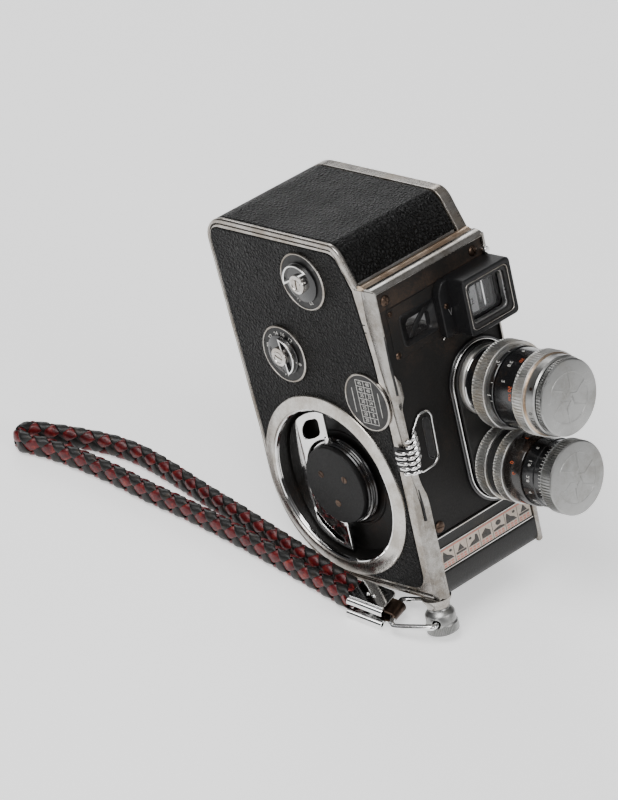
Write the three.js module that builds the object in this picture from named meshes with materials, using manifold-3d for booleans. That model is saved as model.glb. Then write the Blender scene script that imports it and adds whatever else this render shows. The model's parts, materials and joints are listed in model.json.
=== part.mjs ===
// A spring-driven 8 mm cine camera with a two-lens turret and a braided wrist strap.
// Units are millimetres. The body is drawn upright in its own frame: +X is the film-door side,
// -X the winding side, -Y the lens side and +Z up, with z = 0 under the base. It is then leaned
// back, because it stands on the rear of its base and on the strap screw under the front.
import * as THREE from 'three';
import Module from 'manifold-3d';
import { mergeVertices } from 'three/addons/utils/BufferGeometryUtils.js';

const wasm = await Module();
wasm.setup();

// Driving dimensions.
const HALF_WIDTH = 24.1;
const HEIGHT = 121;
const DOOR_FACE = 25.2;
const BACK = 35.5;
const BACK_UPRIGHT = 48;
const REAR_TOP = { y: 39.3, z: 122.7 };
const FRONT_WALL = -31.6;
const PLATE_FACE = -35;
const HEEL_Y = 2.5;
const HEEL_R = 33;
const GAP = 0.3;
const LEATHER = 0.6;
const LENS_X = 10.9;
const UPPER_LENS_Z = 63.2;
const LOWER_LENS_Z = 34.8;
const TURRET_Z = (UPPER_LENS_Z + LOWER_LENS_Z) / 2;
const HUB = { y: 2.95, z: 34.4 };
const UPPER_DIAL = { y: -3.6, z: 106.5 };
const LOWER_DIAL = { y: 13.3, z: 78.8 };
const CHART = { y: -21.7, z: 68.1 };
const SCREW = { x: -21.5, y: -30.6, foot: -11.5, r: 5.3 };
const SHUTTER = { x: -4.5, z: UPPER_LENS_Z };
const SUPPLY = { y: 9, z: 62.5 };
const TAKEUP = { y: 6, z: 23.6 };
const WHEEL = { y: -4, z: 67.5 };
const GOVERNOR = { y: 8.5, z: 79.6 };
const EYEPIECE = { x: 12.8, z: 92.1 };

// Materials.
const paint = (color, roughness, metalness) => new THREE.MeshStandardMaterial({ color, roughness, metalness });
const CHROME = paint(0xc9c9c8, 0.15, 1);
const SATIN = paint(0xa9a49d, 0.4, 1);
const ALUMINIUM = paint(0xb4b3b1, 0.45, 1);
const CRINKLE = paint(0x1d1b19, 0.75, 0.1);
const HIDE = paint(0x17171a, 0.6, 0);
const BLACK = paint(0x101012, 0.25, 0.2);
const BROWN = paint(0x3a2c22, 0.5, 0.7);
const BRASS = paint(0x9a7b3f, 0.35, 1);
const STEEL = paint(0x7b7c7e, 0.4, 1);
const CREAM = paint(0xb9b1a4, 0.6, 0);
const GLASS = paint(0x2b3138, 0.05, 0);
const BRAID = paint(0x5d1a1c, 0.5, 0);

// Solids. Every shape becomes a manifold, so that it can be cut and joined.
function solid(geometry) {
  const bare = geometry.index ? geometry.toNonIndexed() : geometry.clone();
  bare.deleteAttribute('normal');
  bare.deleteAttribute('uv');
  const merged = mergeVertices(bare, 1e-4);
  const vertProperties = new Float32Array(merged.attributes.position.array);
  const triVerts = new Uint32Array(merged.index.array);
  const made = new wasm.Manifold(new wasm.Mesh({ numProp: 3, vertProperties, triVerts }));
  if (made.volume() > 0) return made;
  for (let i = 0; i < triVerts.length; i += 3) {
    const first = triVerts[i];
    triVerts[i] = triVerts[i + 1];
    triVerts[i + 1] = first;
  }
  return new wasm.Manifold(new wasm.Mesh({ numProp: 3, vertProperties, triVerts }));
}

function geometryOf(body) {
  const mesh = body.getMesh();
  const geometry = new THREE.BufferGeometry();
  geometry.setAttribute('position', new THREE.BufferAttribute(new Float32Array(mesh.vertProperties), 3));
  geometry.setIndex(new THREE.BufferAttribute(new Uint32Array(mesh.triVerts), 1));
  geometry.computeVertexNormals();
  return geometry;
}

const extruded = (shape, depth, curveSegments, matrix) =>
  solid(new THREE.ExtrudeGeometry(shape, { depth, bevelEnabled: false, curveSegments }).applyMatrix4(matrix));

// A shape drawn in (y, z), pushed along x.
function sidePlate(shape, x0, x1, curveSegments = 6) {
  const place = new THREE.Matrix4().set(0, 0, 1, x0, 1, 0, 0, 0, 0, 1, 0, 0, 0, 0, 0, 1);
  return extruded(shape, x1 - x0, curveSegments, place);
}

// A shape drawn in (x, z), pushed forward along -y from the back plane to the front plane.
function facePlate(shape, yBack, yFront, curveSegments = 5) {
  const place = new THREE.Matrix4().set(1, 0, 0, 0, 0, 0, -1, yBack, 0, 1, 0, 0, 0, 0, 0, 1);
  return extruded(shape, yBack - yFront, curveSegments, place);
}

const box = (x0, x1, y0, y1, z0, z1) =>
  solid(new THREE.BoxGeometry(x1 - x0, y1 - y0, z1 - z0)
    .translate((x0 + x1) / 2, (y0 + y1) / 2, (z0 + z1) / 2));

const lathe = (profile, segments) =>
  new THREE.LatheGeometry(profile.map(([r, h]) => new THREE.Vector2(r, h)), segments);

// Turned pieces: the profile lists [radius, place along the axis].
function turnedX(profile, at, segments = 24) {
  const place = new THREE.Matrix4().set(0, 1, 0, 0, 0, 0, 1, at.y, 1, 0, 0, at.z, 0, 0, 0, 1);
  return solid(lathe(profile, segments).applyMatrix4(place));
}

function turnedY(profile, x, z, segments = 24) {
  return solid(lathe(profile, segments).translate(x, 0, z));
}

function turnedZ(profile, x, y, segments = 24) {
  const place = new THREE.Matrix4().set(0, 0, 1, x, 1, 0, 0, y, 0, 1, 0, 0, 0, 0, 0, 1);
  return solid(lathe(profile, segments).applyMatrix4(place));
}

const rodX = (r, x0, x1, at, segments = 16) => turnedX([[0, x0], [r, x0], [r, x1], [0, x1]], at, segments);
const rodY = (r, y0, y1, x, z, segments = 16) => turnedY([[0, y0], [r, y0], [r, y1], [0, y1]], x, z, segments);
const ring = (inner, outer, a, b) => [[inner, a], [outer, a], [outer, b], [inner, b], [inner, a]];

// The camera's side outline in (y, z), pulled in by an inset: round heel, flat base, a back that
// spreads out above its upright part, a slightly sloping top, and a steep slope down to the step
// behind the front bezel.
function sideOutline(inset) {
  const rear = { y: REAR_TOP.y - inset, z: REAR_TOP.z - inset };
  const top = HEIGHT - inset;
  const front = FRONT_WALL + inset;
  const shape = new THREE.Shape();
  shape.moveTo(front, inset);
  shape.lineTo(HEEL_Y, inset);
  shape.absarc(HEEL_Y, HEEL_R, HEEL_R - inset, -Math.PI / 2, 0, false);
  shape.lineTo(BACK - inset, BACK_UPRIGHT);
  shape.lineTo(rear.y - 0.1, rear.z - 11 + inset);
  shape.quadraticCurveTo(rear.y + 0.4, rear.z, rear.y - 10, rear.z - 0.3);
  shape.lineTo(-18, top);
  shape.quadraticCurveTo(-22.4 + inset, top, -24.2 + inset, 115.6 - inset);
  shape.lineTo(-27.9 + inset, 107.7 - inset);
  shape.lineTo(front, 107.4 - inset);
  shape.closePath();
  return shape;
}

// The leather panel on each side: inside the metal rim, and clear of the front strip.
function panelOutline(inset) {
  const rim = 2.2 + inset;
  const shape = new THREE.Shape();
  shape.moveTo(-24.6 + inset, rim);
  shape.lineTo(HEEL_Y, rim);
  shape.absarc(HEEL_Y, HEEL_R, HEEL_R - rim, -Math.PI / 2, 0, false);
  shape.lineTo(BACK - rim, BACK_UPRIGHT);
  shape.lineTo(REAR_TOP.y - rim - 0.2, REAR_TOP.z - 10);
  shape.quadraticCurveTo(REAR_TOP.y - rim, REAR_TOP.z - rim - 0.4, REAR_TOP.y - 9, REAR_TOP.z - rim - 0.5);
  shape.lineTo(-17 + inset, HEIGHT - rim);
  shape.quadraticCurveTo(-21 + inset, HEIGHT - rim, -22.6 + inset, 114.6 - inset);
  shape.lineTo(-25.6 + inset, 107);
  shape.lineTo(-28.6 + inset, 86);
  shape.lineTo(-28.6 + inset, 6 + inset);
  shape.quadraticCurveTo(-28.6 + inset, rim, -24.6 + inset, rim);
  return shape;
}

function rectangle(a0, a1, b0, b1, r) {
  const shape = new THREE.Shape();
  shape.moveTo(a0 + r, b0);
  shape.lineTo(a1 - r, b0);
  shape.absarc(a1 - r, b0 + r, r, -Math.PI / 2, 0, false);
  shape.lineTo(a1, b1 - r);
  shape.absarc(a1 - r, b1 - r, r, 0, Math.PI / 2, false);
  shape.lineTo(a0 + r, b1);
  shape.absarc(a0 + r, b1 - r, r, Math.PI / 2, Math.PI, false);
  shape.lineTo(a0, b0 + r);
  shape.absarc(a0 + r, b0 + r, r, Math.PI, Math.PI * 1.5, false);
  return shape;
}

function obround(r) {
  const shape = new THREE.Shape();
  shape.absarc(LENS_X, UPPER_LENS_Z, r, 0, Math.PI, false);
  shape.absarc(LENS_X, LOWER_LENS_Z, r, Math.PI, Math.PI * 2, false);
  shape.closePath();
  return shape;
}

// A toothed wheel's outline: one flat-topped tooth to each step.
function toothed(tip, root, teeth) {
  const shape = new THREE.Shape();
  const step = (Math.PI * 2) / teeth;
  for (let i = 0; i < teeth; i += 1) {
    const a = i * step;
    const corners = [[root, a], [tip, a + step * 0.2], [tip, a + step * 0.5], [root, a + step * 0.7]];
    for (const [r, angle] of corners) {
      const point = [r * Math.cos(angle), r * Math.sin(angle)];
      if (i === 0 && angle === a) shape.moveTo(...point);
      else shape.lineTo(...point);
    }
  }
  shape.closePath();
  return shape;
}

const body = new THREE.Group();
const strap = new THREE.Group();

function add(group, name, piece, material) {
  const mesh = new THREE.Mesh(geometryOf(piece), material);
  mesh.name = name;
  group.add(mesh);
}

// Casing: the die-cast body, its coverings and the plates let into it.
const FLANGE_IN = -HALF_WIDTH + 1.7;
const CASTING_EDGE = 20.6;
const WALL = 2.6;
const PANEL_FLOOR = HALF_WIDTH - LEATHER;

function makeCasing() {
  const tunnel = box(5.7, 19.9, -40, 30, 85.7, 98.5);
  const casting = sidePlate(sideOutline(0), -HALF_WIDTH, FLANGE_IN)
    .add(sidePlate(sideOutline(0.8), FLANGE_IN - 0.1, CASTING_EDGE))
    .subtract(sidePlate(sideOutline(WALL), -21.9, CASTING_EDGE + 1))
    .subtract(sidePlate(panelOutline(0), -HALF_WIDTH - 1, -PANEL_FLOOR))
    .subtract(rodX(26.8, -HALF_WIDTH - 1, -20, HUB, 32))
    .subtract(rodX(2.4, -HALF_WIDTH - 1, -20, UPPER_DIAL, 12))
    .subtract(rodX(2.4, -HALF_WIDTH - 1, -20, LOWER_DIAL, 12))
    .subtract(rodX(9.8, -HALF_WIDTH - 1, -PANEL_FLOOR, CHART, 28))
    .subtract(rodY(6.5, -34, -25, LENS_X, UPPER_LENS_Z))
    .subtract(rodY(1.4, -34, -25, SHUTTER.x, SHUTTER.z, 10))
    .subtract(rodY(5.2, 30, 42, EYEPIECE.x, EYEPIECE.z))
    .subtract(tunnel);
  add(body, 'body_casting', casting, SATIN);

  const wrap = sidePlate(sideOutline(0), FLANGE_IN + GAP, CASTING_EDGE - GAP)
    .subtract(sidePlate(sideOutline(0.5), FLANGE_IN, CASTING_EDGE))
    .subtract(box(-25, 25, -40, -26, -1, 109.6))
    .subtract(rodY(5.4, 30, 42, EYEPIECE.x, EYEPIECE.z));
  add(body, 'wrap_leather', wrap, HIDE);

  const side = sidePlate(panelOutline(GAP), -HALF_WIDTH - 0.3, -HALF_WIDTH + 0.3)
    .subtract(rodX(27.2, -26, -22, HUB, 32))
    .subtract(rodX(9.8, -26, -22, UPPER_DIAL))
    .subtract(rodX(9.9, -26, -22, LOWER_DIAL))
    .subtract(rodX(9.9, -26, -22, CHART))
    .subtract(box(-26, -22, -32, CHART.y - 4, CHART.z - 8, CHART.z + 8));
  add(body, 'side_leather', side, HIDE);

  const dialPlate = (at, r) => turnedX(ring(2.1, r, -24.8, -23.8), at, 28);
  add(body, 'upper_dial_plate', dialPlate(UPPER_DIAL, 9.5), STEEL);
  add(body, 'lower_dial_plate', dialPlate(LOWER_DIAL, 9.6), STEEL);

  add(body, 'chart_disc', rodX(9.5, -24.7, -23.8, CHART, 28), STEEL);
}

// Film side: the lift-off door, its leather and its lock.
function makeDoor() {
  const door = sidePlate(sideOutline(0), CASTING_EDGE + GAP, DOOR_FACE)
    .subtract(sidePlate(sideOutline(WALL), CASTING_EDGE, DOOR_FACE - 1.7))
    .subtract(sidePlate(panelOutline(0), DOOR_FACE - LEATHER, DOOR_FACE + 1));
  add(body, 'film_door', door, SATIN);
  add(body, 'door_leather', sidePlate(panelOutline(GAP), DOOR_FACE - 0.3, DOOR_FACE + 0.3), HIDE);
  const lock = turnedX([[0, 25.8], [9, 25.8], [9, 27], [8, 27.5], [0, 27.5]], { y: 0, z: 30 }, 28)
    .add(box(27.4, 28.9, -7, 7, 28.4, 31.6));
  add(body, 'door_lock', lock, CHROME);
}

// Winding side: bezel, dish, shaft, hub, the fold-out key and the two dial knobs.
function makeWinding() {
  const bezel = turnedX([[26.9, -24.7], [31.25, -24.7], [31.25, -25.3], [30.4, -25.9], [27.5, -25.9],
    [26.9, -25.5], [26.9, -24.7]], HUB, 36);
  add(body, 'winding_bezel', bezel, CHROME);
  const dish = turnedX([[5, -17.2], [26.5, -17.2], [26.5, -24.6], [25.7, -24.6], [25.7, -18.2],
    [5, -18.2], [5, -17.2]], HUB, 32);
  add(body, 'winding_dish', dish, CRINKLE);
  const shaft = [[0, -19.3], [4.6, -19.3], [4.6, -16.8], [3, -16.8], [3, -7], [0, -7]];
  add(body, 'winding_shaft', turnedX(shaft, HUB, 20), STEEL);

  let hub = turnedX([[0, -25], [12.8, -25], [13.2, -24.6], [13.2, -23.2], [8.2, -23.2], [8.2, -20.4],
    [14.4, -20.4], [14.4, -19.6], [0, -19.6]], HUB, 32);
  for (const angle of [30, 150, 270].map(THREE.MathUtils.degToRad)) {
    const at = { y: HUB.y + 6.2 * Math.cos(angle), z: HUB.z + 6.2 * Math.sin(angle) };
    hub = hub.add(rodX(1.3, -25.25, -24.9, at, 10));
  }
  add(body, 'key_hub', hub, BLACK);

  const outline = new THREE.Shape();
  const edge = 1.1;
  const [outer, inner] = [25, 15];
  const [outerStart, innerStart] = [Math.acos(edge / outer), Math.acos(edge / inner)];
  outline.absarc(HUB.y, HUB.z, outer, -outerStart, outerStart, false);
  outline.absarc(HUB.y, HUB.z, inner, innerStart, -innerStart, true);
  outline.closePath();
  let key = sidePlate(outline, -22.6, -21.3, 10);
  for (const up of [-1, 1]) {
    const lug = up > 0 ? [9, 16] : [-16, -9];
    key = key.add(box(-22.6, -21.3, HUB.y + edge, HUB.y + 2.9, HUB.z + lug[0], HUB.z + lug[1]));
    const hole = sidePlate(rectangle(HUB.y + 6, HUB.y + 12.4, HUB.z + up * 19 - 3, HUB.z + up * 19 + 3, 2.8),
      -24, -20, 4);
    key = key.subtract(hole);
  }
  add(body, 'winding_key', key, CHROME);

  const knob = (at) => turnedX([[0, -27.5], [2.6, -27.5], [3.2, -27], [3.2, -25.1], [1.8, -25.1],
    [1.8, -20.6], [0, -20.6]], at, 20)
    .add(rodX(2.9, -26.2, -25.1, { y: at.y + 2.4, z: at.z + 2.4 }));
  add(body, 'upper_dial_knob', knob(UPPER_DIAL), CHROME);
  add(body, 'lower_dial_knob', knob(LOWER_DIAL), CHROME);
}

// Front: bezel, plates, window, viewfinder and shutter release.
function makeFront() {
  const bezel = facePlate(rectangle(-HALF_WIDTH, HALF_WIDTH, 0.6, 107.6, 2.5), -31.9, -36)
    .subtract(box(-22.9, 22.9, -37, -30, 9.4, 106.4));
  add(body, 'front_bezel', bezel, SATIN);

  const plate = box(-22.6, 22.6, PLATE_FACE, -33.5, 21.6, 106.1)
    .subtract(box(-16, 0.5, -36, -33, 85.3, 96))
    .subtract(box(5.7, 19.9, -36, -33, 85.7, 98.5))
    .subtract(rodY(6.5, -36, -33, LENS_X, UPPER_LENS_Z))
    .subtract(rodY(1.5, -36, -33, LENS_X, TURRET_Z, 10));
  add(body, 'front_plate', plate, CRINKLE);
  add(body, 'guide_plate', box(-22.6, 22.6, -35.6, -34.2, 9.7, 21.3), CREAM);
  add(body, 'front_window', box(-15.7, 0.2, -34.4, -33.7, 85.6, 95.7), GLASS);

  const screwAt = { plate_screw_1: [-19.8, 102.8], plate_screw_2: [18.6, 102.8], plate_screw_3: [-18, 24.6],
    plate_screw_4: [-19.2, 83.4] };
  for (const [name, [x, z]] of Object.entries(screwAt)) {
    add(body, name, rodY(1.9, -35.9, PLATE_FACE - GAP, x, z, 14), BROWN);
  }

  const hood = box(3.4, 24.5, -45, PLATE_FACE - GAP, 81.6, 100.8)
    .add(box(-1.2, 3.5, -38.2, PLATE_FACE - GAP, 82.2, 100.8))
    .subtract(box(5.2, 22.7, -46, -34, 83.2, 99))
    .subtract(box(22.6, 26, -36.3, -34, 80, 102));
  add(body, 'finder_housing', hood, CRINKLE);
  add(body, 'finder_front_glass', box(5.5, 22.4, -41.2, -40.2, 83.5, 98.7), GLASS);
  const tube = box(6, 19.6, -34.6, 32.4, 86, 98.2).subtract(box(6.8, 18.8, -36, 34, 86.8, 97.4));
  add(body, 'finder_tube', tube, STEEL);
  const eyepiece = turnedY([[4, 34], [4.9, 34], [4.9, 38.9], [6.6, 38.9], [6.6, 40.8], [5.6, 41.6],
    [4, 41.6], [4, 34]], EYEPIECE.x, EYEPIECE.z);
  add(body, 'finder_eyepiece', eyepiece, BLACK);

  const slot = [[-14.6, 64.2], [-12.6, 62], [-12.1, 48.6], [-13.6, 45.9], [-22.6, 45], [-22.6, 52.5]];
  const lozenge = new THREE.Shape(slot.map(([x, z]) => new THREE.Vector2(x, z)));
  add(body, 'release_plate', facePlate(lozenge, PLATE_FACE - GAP, -35.9), CHROME);
  const button = box(-26.4, -24.4, -38.1, -29.2, 45.6, 57).add(box(-26.4, -19.2, -38.1, -36.4, 45.6, 57));
  add(body, 'release_button', button, CHROME);
  const spring = turnedZ(ring(1.1, 1.8, 38, 45), -19.4, -26.3, 12);
  add(body, 'release_spring', spring, STEEL);
}

// The turret, which turns half a turn, and what it turns on.
function makeTurret() {
  const seat = facePlate(obround(13.4), PLATE_FACE - GAP, -35.9, 10)
    .subtract(facePlate(obround(11.6), -34, -37, 10))
    .subtract(box(22.6, 26, -37, -34, 20, 80));
  add(body, 'turret_seat', seat, CRINKLE);
  const plate = facePlate(obround(12.4), -36.3, -37.4, 10)
    .subtract(rodY(6.6, -38, -36, LENS_X, UPPER_LENS_Z))
    .subtract(rodY(6.6, -38, -36, LENS_X, LOWER_LENS_Z))
    .subtract(rodY(1.5, -38, -36, LENS_X, TURRET_Z, 10));
  add(body, 'turret_plate', plate, CRINKLE);
  const pivot = [[0, -38.3], [1.7, -38.3], [1.7, -37.7], [1.2, -37.7], [1.2, -33.9], [0, -33.9]];
  add(body, 'turret_pivot', turnedY(pivot, LENS_X, TURRET_Z, 14), BROWN);
}

// Each lens: a barrel on the turret, a focus ring, an aperture ring, a front glass and a push-on cap.
function makeLens(name, z, profiles) {
  const turned = (profile, segments = 24) => turnedY(profile, LENS_X, z, segments);
  add(body, `${name}_lens_barrel`, turned(profiles.barrel), BLACK);
  add(body, `${name}_focus_ring`, turned(profiles.focus, 28), STEEL);
  add(body, `${name}_aperture_ring`, turned(profiles.aperture, 28), profiles.apertureMaterial);
  add(body, `${name}_lens_glass`, turned(profiles.glass, 16), GLASS);
  add(body, `${name}_lens_cap`, turned(profiles.cap, 28), ALUMINIUM);
}

function makeLenses() {
  makeLens('upper', UPPER_LENS_Z, {
    barrel: [[7.4, -37.7], [11.4, -37.7], [11.4, -39.6], [10.7, -39.6], [10.7, -45.6], [9.9, -45.6],
      [9.9, -54.4], [12.6, -54.4], [12.6, -62.7], [9.9, -62.7], [9.9, -73], [7.4, -73], [7.4, -37.7]],
    focus: [[10.2, -45.9], [14.1, -45.9], [14.1, -51.1], [12.9, -51.1], [12.9, -54.1], [10.2, -54.1],
      [10.2, -45.9]],
    aperture: [[10.2, -63], [13.6, -63], [13.6, -67.9], [12.7, -68.2], [12.7, -71.8], [10.2, -71.8],
      [10.2, -63]],
    apertureMaterial: ALUMINIUM,
    glass: [[0, -71.6], [4, -71.2], [7.1, -70], [7.1, -68.4], [0, -68.4]],
    cap: [[0, -73.3], [10.2, -73.3], [10.2, -72.1], [12.2, -72.1], [12.2, -74.5], [0, -74.5]],
  });
  makeLens('lower', LOWER_LENS_Z, {
    barrel: [[6.8, -37.7], [12.1, -37.7], [12.1, -42.2], [11.2, -42.2], [11.2, -45.2], [9.4, -45.2],
      [9.4, -69.6], [6.8, -69.6], [6.8, -37.7]],
    focus: [[9.7, -45.5], [12.1, -45.5], [12.1, -49.4], [11.5, -49.4], [11.5, -57], [9.7, -57],
      [9.7, -45.5]],
    aperture: ring(9.7, 11, -57.3, -65.8),
    apertureMaterial: BLACK,
    glass: [[0, -68.2], [4, -67.8], [6.5, -66.8], [6.5, -65.2], [0, -65.2]],
    cap: [[0, -69.9], [9.7, -69.9], [9.7, -66.1], [11.9, -66.1], [11.9, -70.9], [0, -70.9]],
  });
}

// Works: gate, shutter, claw, spring barrel, train, governor and spools.
function makeWorks() {
  let plate = sidePlate(sideOutline(3.1), -3.2, -1.4);
  for (const at of [SUPPLY, TAKEUP]) plate = plate.add(rodX(1.7, -1.5, 18.6, at, 12));
  add(body, 'mechanism_plate', plate, STEEL);

  const gate = box(4, 18, -27.7, -26.4, 53, 74).subtract(box(8.5, 13.3, -28, -26, 61.4, 65));
  add(body, 'film_gate', gate, STEEL);
  add(body, 'pressure_plate', box(5, 17, -26, -24.8, 56, 71), STEEL);
  add(body, 'film_claw', box(1.2, 3.4, -27.3, -24.8, 60, 67), STEEL);

  const disc = new THREE.Shape();
  disc.moveTo(SHUTTER.x, SHUTTER.z);
  disc.absarc(SHUTTER.x, SHUTTER.z, 18, Math.PI * 0.3, Math.PI * 1.7, false);
  disc.closePath();
  const shutter = facePlate(disc, -31.8, -32.5, 12).add(rodY(3, -32.5, -31.8, SHUTTER.x, SHUTTER.z, 12))
    .add(rodY(0.9, -32, -20, SHUTTER.x, SHUTTER.z, 12));
  add(body, 'shutter_disc', shutter, BLACK);

  const gear = (tip, teeth, x0, x1, at) => {
    const shape = toothed(tip, tip - 1, teeth);
    return sidePlate(shape, x0, x1).translate([0, at.y, at.z]);
  };
  const barrel = gear(25, 36, -8.2, -6.9, HUB)
    .add(turnedX([[0, -16.4], [23.2, -16.4], [23.2, -8.1], [0, -8.1]], HUB, 24))
    .subtract(turnedX([[0, -17], [3.3, -17], [3.3, -15.5], [22, -15.5], [22, -6], [0, -6]], HUB, 24))
    .add(turnedX(ring(8, 22.5, -7.6, -6.9), HUB, 24));
  add(body, 'mainspring_barrel', barrel, BRASS);
  add(body, 'mainspring', turnedX(ring(9, 20, -14.9, -8.2), HUB, 28), STEEL);

  const wheel = gear(8.2, 12, -14, -6.5, WHEEL).add(gear(12, 20, -6.55, -5.3, WHEEL))
    .add(rodX(1, -20, -4.2, WHEEL, 10));
  add(body, 'train_wheel', wheel, BRASS);
  const governor = rodX(5, -16, -6.4, GOVERNOR, 16).add(rodX(1, -20, -4.2, GOVERNOR, 10));
  add(body, 'governor', governor, BRASS);

  const spool = [[2.1, 0.6], [19, 0.6], [19, 1.4], [5, 1.4], [5, 16.4], [19, 16.4], [19, 17.2], [2.1, 17.2],
    [2.1, 0.6]];
  add(body, 'supply_spool', turnedX(spool, SUPPLY, 24), ALUMINIUM);
  add(body, 'takeup_spool', turnedX(spool, TAKEUP, 24), ALUMINIUM);
}

// Under the base: the tripod bush and the strap's thumb screw.
function makeFoot() {
  add(body, 'tripod_bush', turnedZ(ring(2.3, 4.2, -GAP, -2.9), SCREW.x, SCREW.y, 20), SATIN);
  return turnedZ([[0, -0.6], [2, -0.6], [2, -3.2], [3.3, -3.2], [4.6, -4.4], [5, -8.2], [SCREW.r, -8.6],
    [SCREW.r, SCREW.foot], [0, SCREW.foot]], SCREW.x, SCREW.y, 24);
}

// Leaning back: the rear edge of the screw's foot and the heel both touch the ground.
const toScrew = { y: SCREW.y + SCREW.r - HEEL_Y, z: SCREW.foot - HEEL_R };
const LEAN = Math.acos(HEEL_R / Math.hypot(toScrew.y, toScrew.z)) - Math.atan2(-toScrew.y, -toScrew.z);
const [COS, SIN] = [Math.cos(LEAN), Math.sin(LEAN)];
const GROUND = HEEL_R * COS - HEEL_Y * SIN - HEEL_R;
const leaned = (x, y, z) => new THREE.Vector3(x, y * COS + z * SIN, z * COS - y * SIN - GROUND);

// The strap, drawn on the ground in the leaned frame. The wire ring runs through a cross hole in the
// screw's drum and through the ferrule's eye, and lies along this direction.
const RING_Z = -6.4;
const RING_AT = leaned(SCREW.x, SCREW.y, RING_Z);
const ALONG = new THREE.Vector3(-0.48, 0.87, 0).normalize();
const ACROSS = new THREE.Vector3(ALONG.y, -ALONG.x, 0);
const RING_HALF = 7;
const RING_FAR = 14.5;
const RING_FAR_Z = 4.2;
const WIRE = 1;
const REARWARD = new THREE.Vector3(-0.27, 0.96, 0).normalize();
const SIDEWAYS = new THREE.Vector3(REARWARD.y, -REARWARD.x, 0);
const strapPoint = (along, across, z) => new THREE.Vector3(RING_AT.x, RING_AT.y, 0)
  .addScaledVector(ALONG, along).addScaledVector(ACROSS, across).setZ(z);

function swept(path, section, steps) {
  return solid(new THREE.ExtrudeGeometry(section, { steps, bevelEnabled: false, extrudePath: path }));
}

function ringPath() {
  const [near, far] = [RING_AT.z, RING_FAR_Z];
  const bend = 2.2;
  const corners = [[0, 0, near], [0, RING_HALF - bend, near], [bend * 0.3, RING_HALF - bend * 0.3, near],
    [bend, RING_HALF, near], [RING_FAR - bend, RING_HALF, far], [RING_FAR - bend * 0.3, RING_HALF - bend * 0.3, far],
    [RING_FAR, RING_HALF - bend, far], [RING_FAR, bend - RING_HALF, far],
    [RING_FAR - bend * 0.3, bend * 0.3 - RING_HALF, far], [RING_FAR - bend, -RING_HALF, far], [bend, -RING_HALF, near],
    [bend * 0.3, bend * 0.3 - RING_HALF, near], [0, bend - RING_HALF, near]];
  return new THREE.CatmullRomCurve3(corners.map((corner) => strapPoint(...corner)), true, 'catmullrom', 0.5);
}

// The strap's route, in (x, y) on the ground: out of the ferrule, round the far end and back.
const STRAP_HEIGHT = 7.8;
const STRAP_THICK = 4.5;
const STRAP_Z = 4;
const STRAP_ROUTE = [
  [-34.7, -4], [-35.1, 4], [-36.1, 17], [-37.4, 33], [-39.2, 49], [-41.4, 64], [-44.2, 79], [-46.9, 96.5],
  [-50.6, 111.5], [-54.2, 121.4], [-56.4, 126.2], [-55.4, 129.8], [-51.4, 129.2], [-46.4, 122.8],
  [-40.9, 114.2], [-36.1, 105], [-33.2, 95.5], [-32, 82], [-31.7, 66.5], [-31, 52], [-30.7, 37.5],
  [-30.4, 25], [-30, 12], [-29.9, -2.6],
];

function makeStrap(screw) {
  const hole = new THREE.Shape();
  hole.absarc(0, 0, WIRE + 0.6, 0, Math.PI * 2, false);
  const lean = new THREE.Matrix4().makeRotationX(-LEAN).setPosition(0, 0, -GROUND);
  const leanedScrew = screw.transform(lean.elements);
  const across = new THREE.LineCurve3(strapPoint(0, -9, RING_AT.z), strapPoint(0, 9, RING_AT.z));
  add(strap, 'strap_screw', leanedScrew.subtract(swept(across, hole, 1)), CHROME);

  const wire = new THREE.Shape();
  wire.absarc(0, 0, WIRE, 0, Math.PI * 2, false);
  const ringGeometry = new THREE.TubeGeometry(ringPath(), 34, WIRE, 8, true);
  add(strap, 'strap_ring', solid(ringGeometry), CHROME);

  const eyeAt = strapPoint(RING_FAR, 0, RING_FAR_Z);
  const place = new THREE.Matrix4().makeBasis(SIDEWAYS, REARWARD, new THREE.Vector3(0, 0, 1));
  const sleeve = new THREE.BoxGeometry(11, 10.6, 7.8).translate(-0.7, 8.9, 0).applyMatrix4(place);
  const tongue = new THREE.BoxGeometry(7, 6.4, 4.6).translate(0, 1, 0).applyMatrix4(place);
  const eye = new THREE.LineCurve3(ACROSS.clone().multiplyScalar(-9), ACROSS.clone().multiplyScalar(9));
  const eyeHole = new THREE.Shape();
  eyeHole.absarc(0, 0, WIRE + 0.5, 0, Math.PI * 2, false);
  const ferrule = solid(sleeve).add(solid(tongue)).subtract(swept(eye, eyeHole, 1))
    .translate(eyeAt.toArray());
  add(strap, 'strap_ferrule', ferrule, CHROME);

  const section = new THREE.Shape();
  const flat = STRAP_THICK / 2;
  const tall = STRAP_HEIGHT / 2;
  const half = [[tall, flat * 0.5], [tall * 0.72, flat], [-tall * 0.72, flat], [-tall, flat * 0.5]];
  const around = [...half, ...half.map(([a, b]) => [-a, -b])];
  section.setFromPoints(around.map(([a, b]) => new THREE.Vector2(a, b)));
  const route = STRAP_ROUTE.map(([x, y]) => new THREE.Vector3(x, y, STRAP_Z));
  const path = new THREE.CatmullRomCurve3(route, false, 'centripetal');
  add(strap, 'strap_cord', swept(path, section, 46), BRAID);
}

makeCasing();
makeDoor();
makeWinding();
makeFront();
makeTurret();
makeLenses();
makeWorks();
makeStrap(makeFoot());
body.rotation.x = -LEAN;
body.position.z = -GROUND;

// The origin is on the ground, under the middle of everything but the strap and its ferrule.
const camera = new THREE.Group();
camera.add(body, strap);
camera.updateMatrixWorld(true);
const standing = new THREE.Box3();
camera.traverse((piece) => {
  if (piece.isMesh && !['strap_cord', 'strap_ferrule'].includes(piece.name)) standing.expandByObject(piece, true);
});
const middle = standing.getCenter(new THREE.Vector3());
camera.position.set(-middle.x, -middle.y, -standing.min.z);

export default camera;
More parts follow.
